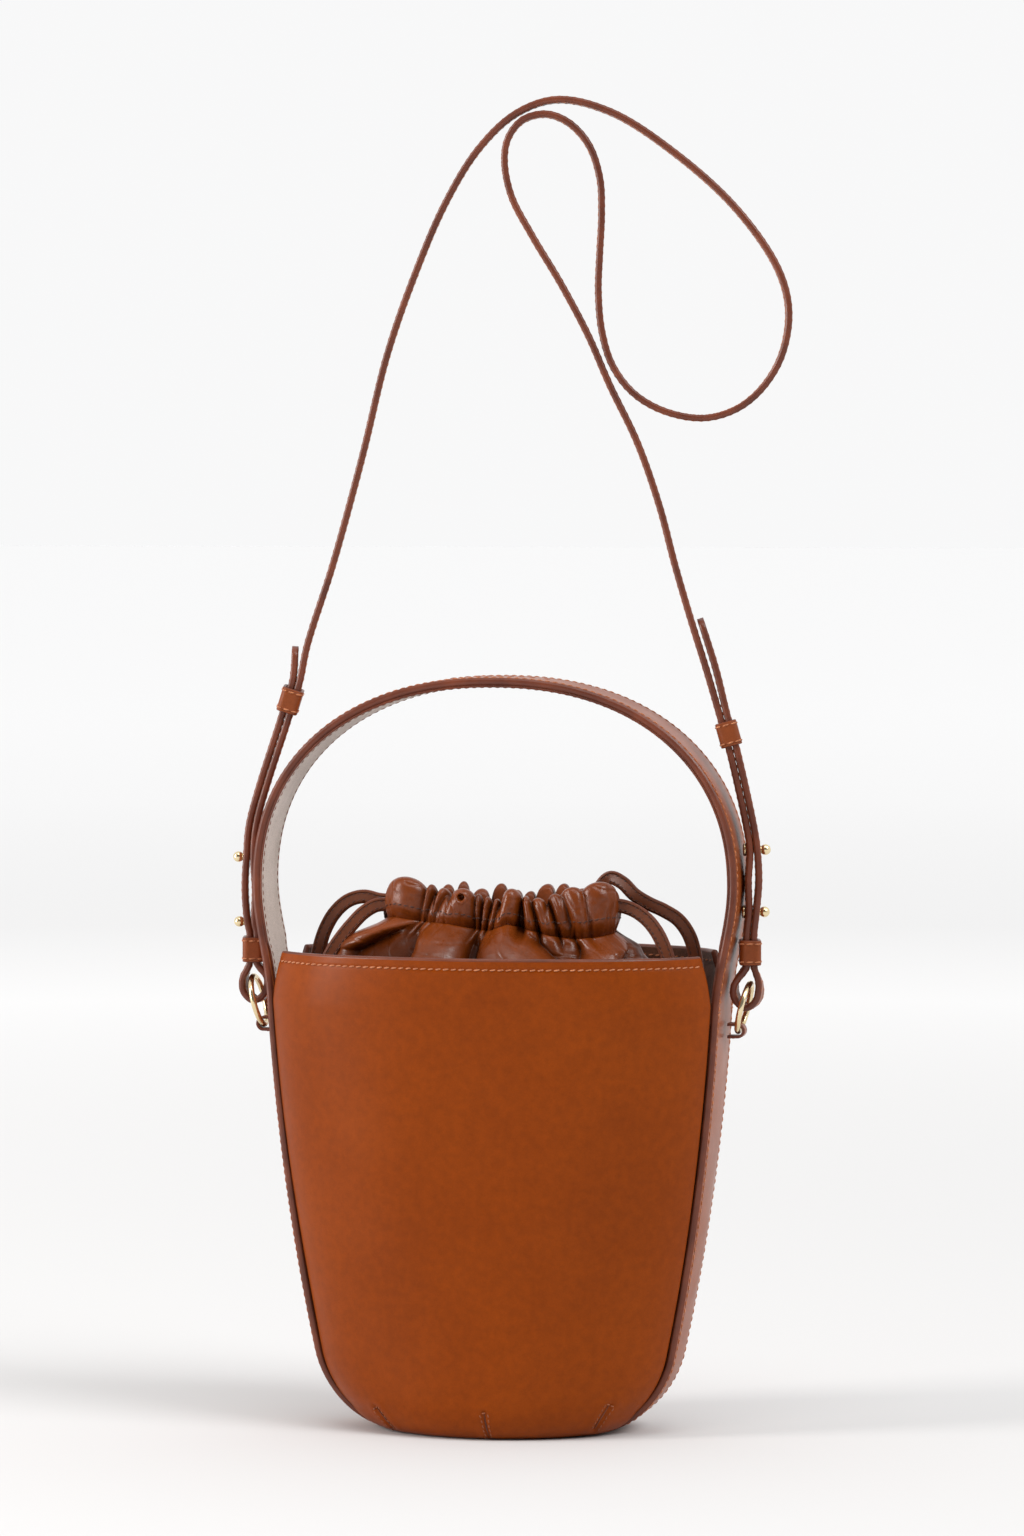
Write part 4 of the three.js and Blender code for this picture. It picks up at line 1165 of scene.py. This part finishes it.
def make_ring_tab(side, sign):
    """A folded strip that holds the ring's lower wire against the gusset."""
    inner_x = float(band_x(175.0)) + 2.0
    eye = np.array([RING_CENTRE[0] - RING_RADIUS * math.sin(RING_TILT),
                    RING_CENTRE[1] - RING_RADIUS * math.cos(RING_TILT) + 0.3])
    middle = TAB_EYE + 0.65
    loop = [(eye[0] + middle * math.cos(t), eye[1] + middle * math.sin(t))
            for t in np.linspace(-math.pi / 2, math.pi / 2, 21)]
    low = [(x, eye[1] - middle) for x in np.linspace(inner_x, eye[0], 7)[:-1]]
    high = [(x, eye[1] + middle) for x in np.linspace(eye[0], inner_x, 7)[1:]]
    line = np.array(low + loop + high)
    centres = upright(sign * line[:, 0], line[:, 1])
    section, picks = leather_section(TAB_WIDTH / 2, 1.25, groove_in=0.7, groove=0.08)
    tab = sweep(f"ring_tab_{side}_loop", centres, Y_AXIS, section, picks, [BAND, EDGE],
                "bag")
    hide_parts(f"ring_tab_{side}")
    x = np.array([inner_x + 0.2, inner_x + 3.2])
    rows = []
    for z, up in ((eye[1] - middle - 0.6, -1.0), (eye[1] + middle + 0.6, 1.0)):
        for across in (-2.4, 2.4):
            row = upright(sign * x, np.full(2, z)) + Y_AXIS * across
            rows.append(stitch_row(row, [0.0, 0.0, up], pitch=1.5, start=0))
    make_stitches(f"ring_tab_{side}_stitches", rows, "bag", 1.6, 0.5)


def make_stud(side, place, sign, x, z):
    """A ball stud through both layers of the strap, and the screw behind them."""
    axis = np.array([math.cos(STRAP_TURN), math.sin(STRAP_TURN), 0.0]) * sign
    foot = np.array([sign * x, 0, z]) - axis * STACK / 2
    ball = STACK + 0.3 + 2.2 * 0.85
    neck = [(0.02, 0.0), (1.1, 0.05), (1.1, STACK - 0.2), (1.75, STACK - 0.1), (1.75, STACK + 0.25),
            (1.2, STACK + 0.4)]
    dome = [(2.35 * math.cos(t), ball + 2.35 * math.sin(t)) for t in np.radians(np.linspace(-52, 89, 18))]
    stud = lathe(f"stud_{side}_{place}_ball", neck + dome, foot, axis)
    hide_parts(f"stud_{side}_{place}")
    screw = [(0.02, -1.15), (0.75, -1.15), (0.8, -1.62), (1.9, -1.58), (2.5, -1.4), (2.8, -1.05),
             (2.8, -0.35), (2.6, -0.15), (0.02, -0.15)]
    base = lathe(f"stud_base_{side}_{place}_screw", screw, foot, axis)
    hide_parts(f"stud_base_{side}_{place}")


def make_keeper(name, centre, lean):
    """A stitched leather loop around the doubled strap."""
    lean = unit(np.array([lean[0], 0.0, lean[1]]))
    deep = np.array([-math.sin(STRAP_TURN), math.cos(STRAP_TURN), 0.0])
    deep = unit(deep - lean * (deep @ lean))
    across = np.cross(deep, lean)
    half_x, half_y = (size / 2 + KEEPER_PLAY + KEEPER_WALL / 2 for size in (STACK, STRAP_WIDTH))
    outline = []
    for quarter, (sx, sy) in enumerate(((1, 1), (-1, 1), (-1, -1), (1, -1))):
        for t in np.linspace(0, math.pi / 2, 7):
            angle = quarter * math.pi / 2 + t
            outline.append((sx * (half_x - KEEPER_CORNER) + KEEPER_CORNER * math.cos(angle),
                            sy * (half_y - KEEPER_CORNER) + KEEPER_CORNER * math.sin(angle)))
    outline.append(outline[0])
    line = resample(np.array(outline), 0.7)
    line[-1] = line[0]
    origin = np.array([centre[0], 0, centre[1]])
    centres = origin + line[:, :1] * across + line[:, 1:] * deep
    section, picks = leather_section(KEEPER_HALF, KEEPER_WALL, groove_in=1.1, groove=0.12)
    keeper = sweep(f"{name}_loop", centres, lean, section, picks, [STRAP, EDGE], name,
                   closed=True)
    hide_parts(name)
    _, thick = frames_along(centres, lean)
    thick = thick * np.sign((thick * unit(centres - origin)).sum())
    rows = []
    for edge in (-1, 1):
        ring = centres + lean * edge * KEEPER_SEAM + thick * (KEEPER_WALL / 2)
        rows.append(stitch_row(ring, thick, pitch=3.6, start=0.2, slant=4))
    make_stitches(f"{name}_stitches", rows, name, 2.9, 0.75)


for hardware_side, hardware_sign in (("right", 1), ("left", -1)):
    make_ring(hardware_side, hardware_sign)
    make_ring_tab(hardware_side, hardware_sign)
    for stud_place, stud_x, stud_z in zip(("lower", "upper"), STUD_MIDDLES, STUD_HEIGHTS[hardware_side]):
        make_stud(hardware_side, stud_place, hardware_sign, stud_x, stud_z)
    make_keeper(f"keeper_{hardware_side}_lower", (hardware_sign * STACK_MIDDLE, LOWER_KEEPERS[hardware_side]),
                (0, 1))
    make_keeper(f"keeper_{hardware_side}_upper", *UPPER_KEEPERS[hardware_side])


# ---------------------------------------------------------------- drawstring pouch

SEAM_HEIGHT = 219.0
SEAM_LINE = [(-56, 222.5), (-44, 223.4), (-33, 221.8), (-20, 221.0), (-8, 218.6), (-2, 218.2), (6, 221.2),
             (14, 219.0), (24, 216.4), (34, 214.8), (44, 215.6), (56, 218.0)]
# Half-width and half-depth of the pouch at heights from its hidden lower edge up to the seam.
POUCH_LEVELS = [(150, 89.5, 50), (165, 84, 45), (190, 76, 38), (203, 70, 31), (212, 64, 23), (219, 54.5, 15)]
POUCH_LOW = 150.0
POUCH_WALL = 1.4
COLLAR_HALF = (54.3, 15.0)
FOLD_SHADE = 4.6  # folds standing out this far or more are fully lit
COLUMNS = 640
EYELET_X, EYELET_Z, EYELET_RADIUS = -14.6, 232.6, 1.6

# One gathered fold of the hem each: middle at the top and at the seam, half-widths there,
# how far it stands out, and the height of its top.
FRONT_FOLDS = [
    (-41.5, -42.5, 10.8, 10, 6.4, 241), (-29.6, -32.4, 2.3, 1.9, 4, 237.8),
    (-23.7, -29.4, 3.2, 2.2, 4.6, 236.4), (-14.8, -20, 6, 11.6, 5.2, 236.4),
    (-7.8, -7.6, 1.9, 1.3, 3, 233.9), (-3.4, -5, 2, 1.5, 3.8, 232.8), (0.8, -1.8, 1.9, 2, 4.1, 232),
    (7.6, 4.2, 4.6, 6.2, 5.9, 236.6), (13.8, 16.2, 2.2, 3.2, 4.6, 233.4),
    (19.2, 24.2, 3.7, 4.4, 4.6, 232.6), (26.8, 32.2, 3.6, 3.8, 3.9, 234.4),
    (34.6, 39.2, 6.2, 4, 5.6, 237.4), (46.4, 48, 9.4, 8.4, 6.8, 239.6)
]
BACK_FOLDS = [
    (-45, -43, 8, 9, 5.4, 237.5), (-34, -33, 4, 5, 4, 235.5), (-25.5, -24.5, 3.4, 3, 5, 236.8),
    (-18.5, -17.5, 3, 4, 4.4, 238.2), (-10.5, -9, 4.2, 5.2, 5.4, 235), (-1.5, 0, 3.6, 3, 4, 237.4),
    (5.5, 7, 3.2, 4.2, 5, 234.6), (12, 13, 3, 3, 4.2, 234.2), (19.5, 20, 4.2, 5.2, 5.4, 237.4),
    (27.5, 28.5, 3.4, 3.4, 4.4, 237.8), (36, 36.5, 5.2, 6, 5, 235.8), (46.5, 46, 7.6, 8, 5.6, 237.2)
]
# One puff of the pouch below the seam each: middle at the seam and at the rim, half-widths, stand-out.
FRONT_PUFFS = [
    (-43.5, -64, 10.6, 11, 5.8), (-33.5, -44, 2, 13, 1.5), (-20, -20.5, 12.4, 12.6, 6.3),
    (3.4, 14.5, 8.8, 19, 6.5), (24, 37.5, 12, 6, 2.4), (47.5, 50.5, 10, 9.6, 6), (58, 66, 4, 7, 3)
]
BACK_PUFFS = [
    (-44, -56, 13, 17, 5.2), (-24, -26, 9.5, 15, 4.8), (-4, -4, 11.5, 15, 5.4), (17, 20, 10.5, 15, 5.2),
    (42, 50, 14.5, 20, 5.4)
]


def smooth_max(values, softness):
    """The greatest of several rows of values, rounded where two rows meet."""
    top = values.max(axis=0)
    return top + softness * np.log(np.exp((values - top) / softness).sum(axis=0))


def lobe(x, middle, half, height):
    """A half-round rise of a given half-width around a middle."""
    return height * np.sqrt(np.clip(1 - ((x - middle) / half) ** 2, 0, 1))

def fold_height(folds, x, mix):
    """How far the gathered folds stand out at x; mix is 0 at the seam and 1 at the top."""
    values = [lobe(x, low + (top - low) * mix, wide_low + (wide_top - wide_low) * mix, out)
              for top, low, wide_top, wide_low, out, _ in folds]
    return smooth_max(np.array(values), 0.22)


def fold_top(folds, x):
    """The height of the gathered hem's top edge at x."""
    values = []
    for top, _, wide, _, _, height in folds:
        share = np.clip(1 - ((x - top) / (wide * 1.1)) ** 2, 0, 1)
        values.append((height - SEAM_HEIGHT) * share ** (0.14 + 0.013 * wide))
    return SEAM_HEIGHT + np.maximum(smooth_max(np.array(values), 0.35), 9.0)


def puff_height(puffs, x, mix):
    """How far the pouch's puffs stand out at x; mix is 0 at the seam and 1 at the rim."""
    values = [lobe(x, low + (rim - low) * mix, wide_low + (wide_rim - wide_low) * mix, out)
              for low, rim, wide_low, wide_rim, out in puffs]
    return smooth_max(np.array(values), 0.35)


def seam_line(side, x):
    """The height of the seam between pouch and hem at x; at the back it runs level."""
    places, heights = np.array(SEAM_LINE).T
    return np.interp(x, places, heights) if side == "front" else np.full_like(x, SEAM_HEIGHT)


def oval(angle, half_width, half_depth):
    """Points and outward directions around an oval."""
    spoke = np.stack([np.cos(angle), np.sin(angle)], axis=-1)
    sizes = np.array([half_width, half_depth])
    return spoke * sizes, unit(spoke / np.maximum(sizes, 1))


def even_angles():
    """Angles evenly spaced along the collar's outline, from the right end round the back."""
    fine = np.linspace(0, 2 * math.pi, 4001)
    run = line_length(oval(fine, *COLLAR_HALF)[0])
    return np.interp(np.linspace(0, run[-1], COLUMNS, endpoint=False), run, fine)


def both_sides(function, front, back, x, angle, *rest):
    """Blends a front and a back value, front where the outline faces -Y."""
    share = 1 / (1 + np.exp(np.sin(angle) * 40))
    return function(front, x, *rest) * share + function(back, x, *rest) * (1 - share)


def wrinkles(angle, z):
    """Small random creases of the soft leather."""
    slow = np.sin(angle * 17 + z * 0.23 + 1.0) * np.sin(z * 0.31 - angle * 9)
    quick = np.sin(angle * 31 - z * 0.4 + 1.0) * np.sin(z * 0.21 + angle * 5)
    crease = 1 - np.abs(np.sin(angle * 11 + z * 0.42 + 1.4 * np.sin(angle * 7 - z * 0.16)))
    return 0.22 * slow + 0.14 * quick - 0.5 * crease ** 6


def hem_offset(angle, x, z, mix):
    """How far the gathered hem's outer face stands from the collar's oval; mix is 0 at the seam."""
    folds = both_sides(fold_height, FRONT_FOLDS, BACK_FOLDS, x, angle, mix)
    ends = np.abs(np.cos(angle)) ** 6
    pinch = 1 - 0.12 * np.exp(-(mix * 6.0) ** 2)
    return ((-5.8 + 1.5 * folds * pinch) * (1 - 0.6 * ends) + wrinkles(angle, z) * 1.2
            - ends * 3.0 * (1 - mix) ** 3)


def make_pouch_piece(name, grid, raised):
    """A closed piece of the pouch. How far its folds stand out says how much light reaches each point."""
    points = grid.reshape(-1, 3)
    quads = grid_quads(*grid.shape[:2], wrap_rows=True, wrap_columns=True)
    piece = make_piece(name, points, facing_out(points, quads), [POUCH], "bag")
    light = np.clip(np.array(raised, float).reshape(-1) / FOLD_SHADE, 0, 1)
    layer = piece.data.color_attributes.new("fold_light", "FLOAT_COLOR", "POINT")
    layer.data.foreach_set("color", np.repeat(light, 4))
    return piece


def add_eyelet(grid):
    """Presses a small round hole with a raised lip into the front of the hem."""
    distance = np.hypot(grid[..., 0] - EYELET_X, grid[..., 2] - EYELET_Z)
    front = (grid[..., 1] < -4) & (np.arange(grid.shape[0])[:, None] < 34)
    hole = -4.2 * np.clip(1 - (distance / EYELET_RADIUS) ** 4, 0, 1)
    lip = 0.5 * np.exp(-((distance - 2.2) / 0.7) ** 2)
    grid[..., 1] -= np.where(front, hole + lip, 0.0)
    return grid


def make_collar():
    """The gathered hem: a closed loop of rows from its seam over its top and down inside."""
    angle = even_angles()
    base, out = oval(angle, *COLLAR_HALF)
    x = base[:, 0]
    top = both_sides(fold_top, FRONT_FOLDS, BACK_FOLDS, x, angle)
    seam = both_sides(seam_line, "front", "back", x, angle)
    turns = np.concatenate([np.linspace(0, 0.5, 30) ** 0.8, np.linspace(0.5, 1.0, 22)[1:]]) * math.pi
    rows, raised = [], []
    for turn in turns:
        rise = max(math.sin(turn), 0.0) ** 0.62
        z = seam + (top - seam) * rise
        raised.append(both_sides(fold_height, FRONT_FOLDS, BACK_FOLDS, x, angle, rise))
        outer = hem_offset(angle, x, z, rise)
        inner = np.minimum(-8.6 + 0.2 * outer, outer - 2.0)
        across = math.copysign(abs(math.cos(turn)) ** 0.75, math.cos(turn))
        offset = (outer + inner) / 2 + (outer - inner) / 2 * across
        rows.append(np.column_stack([base + out * offset[:, None], z]))
    grid = add_eyelet(np.array(rows))
    collar = make_pouch_piece("pouch_collar_skin", grid, raised)
    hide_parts("pouch_collar")
    outward = np.column_stack([out, np.full(COLUMNS, -0.1)])
    ups = unit(np.vstack([outward, outward[:1]]))
    row = grid[1] * 0.4 + grid[2] * 0.6
    line = np.vstack([row, row[:1]])
    seam_stitches = make_stitches("pouch_seam_stitches", [stitch_row(line + ups * 0.1, ups, pitch=2.9)],
                                  "bag", 2.1, 0.6, SEAM_THREAD)


def make_pouch_body():
    """The pouch below its seam: an outer and an inner wall, joined at the seam and at the hidden foot."""
    angle = even_angles()
    level, wide, deep = np.array(POUCH_LEVELS).T
    share = (level - POUCH_LOW) / (SEAM_HEIGHT - POUCH_LOW)
    collar_x = COLLAR_HALF[0] * np.cos(angle)
    seam = both_sides(seam_line, "front", "back", collar_x, angle)
    at_seam = hem_offset(angle, collar_x, seam, np.zeros(COLUMNS))
    folds = both_sides(fold_height, FRONT_FOLDS, BACK_FOLDS, collar_x, angle, np.zeros(COLUMNS))
    outer, inner, raised = [], [], []
    for rise in np.concatenate([np.linspace(0, 0.66, 20), np.linspace(0.66, 1, 48)[1:]]):
        z = POUCH_LOW + (seam - POUCH_LOW) * rise
        base, out = oval(angle, np.interp(rise, share, wide), np.interp(rise, share, deep))
        down = np.clip((seam - z) / 11, 0, 1.3)
        fade = np.clip((rise - 0.38) / 0.36, 0, 1) ** 1.5
        x = np.cos(angle) * (COLLAR_HALF[0] + (66 - COLLAR_HALF[0]) * np.minimum(down, 1))
        puffs = both_sides(puff_height, FRONT_PUFFS, BACK_PUFFS, x, angle, down)
        ends = np.abs(np.cos(angle)) ** 8
        swell = (2.45 * puffs - 9.8) * fade * (1 - 0.6 * ends) + wrinkles(angle, z) * (0.4 + 0.8 * fade)
        near = np.exp(-((seam - z) / 4.6) ** 2)
        swell = swell * (1 - near) + at_seam * near
        raised.append(puffs * (1 - near) + folds * near)
        shift = np.stack([-2.5 * fade * np.minimum(down, 1), np.zeros(COLUMNS)], axis=-1)
        spot = base + out * swell[:, None] + shift
        outer.append(np.column_stack([spot, z]))
        inner.append(np.column_stack([spot - out * POUCH_WALL, z]))
    body = make_pouch_piece("pouch_body_skin", np.array(outer + inner[::-1]), raised + raised[::-1])
    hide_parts("pouch_body")


make_collar()
make_pouch_body()
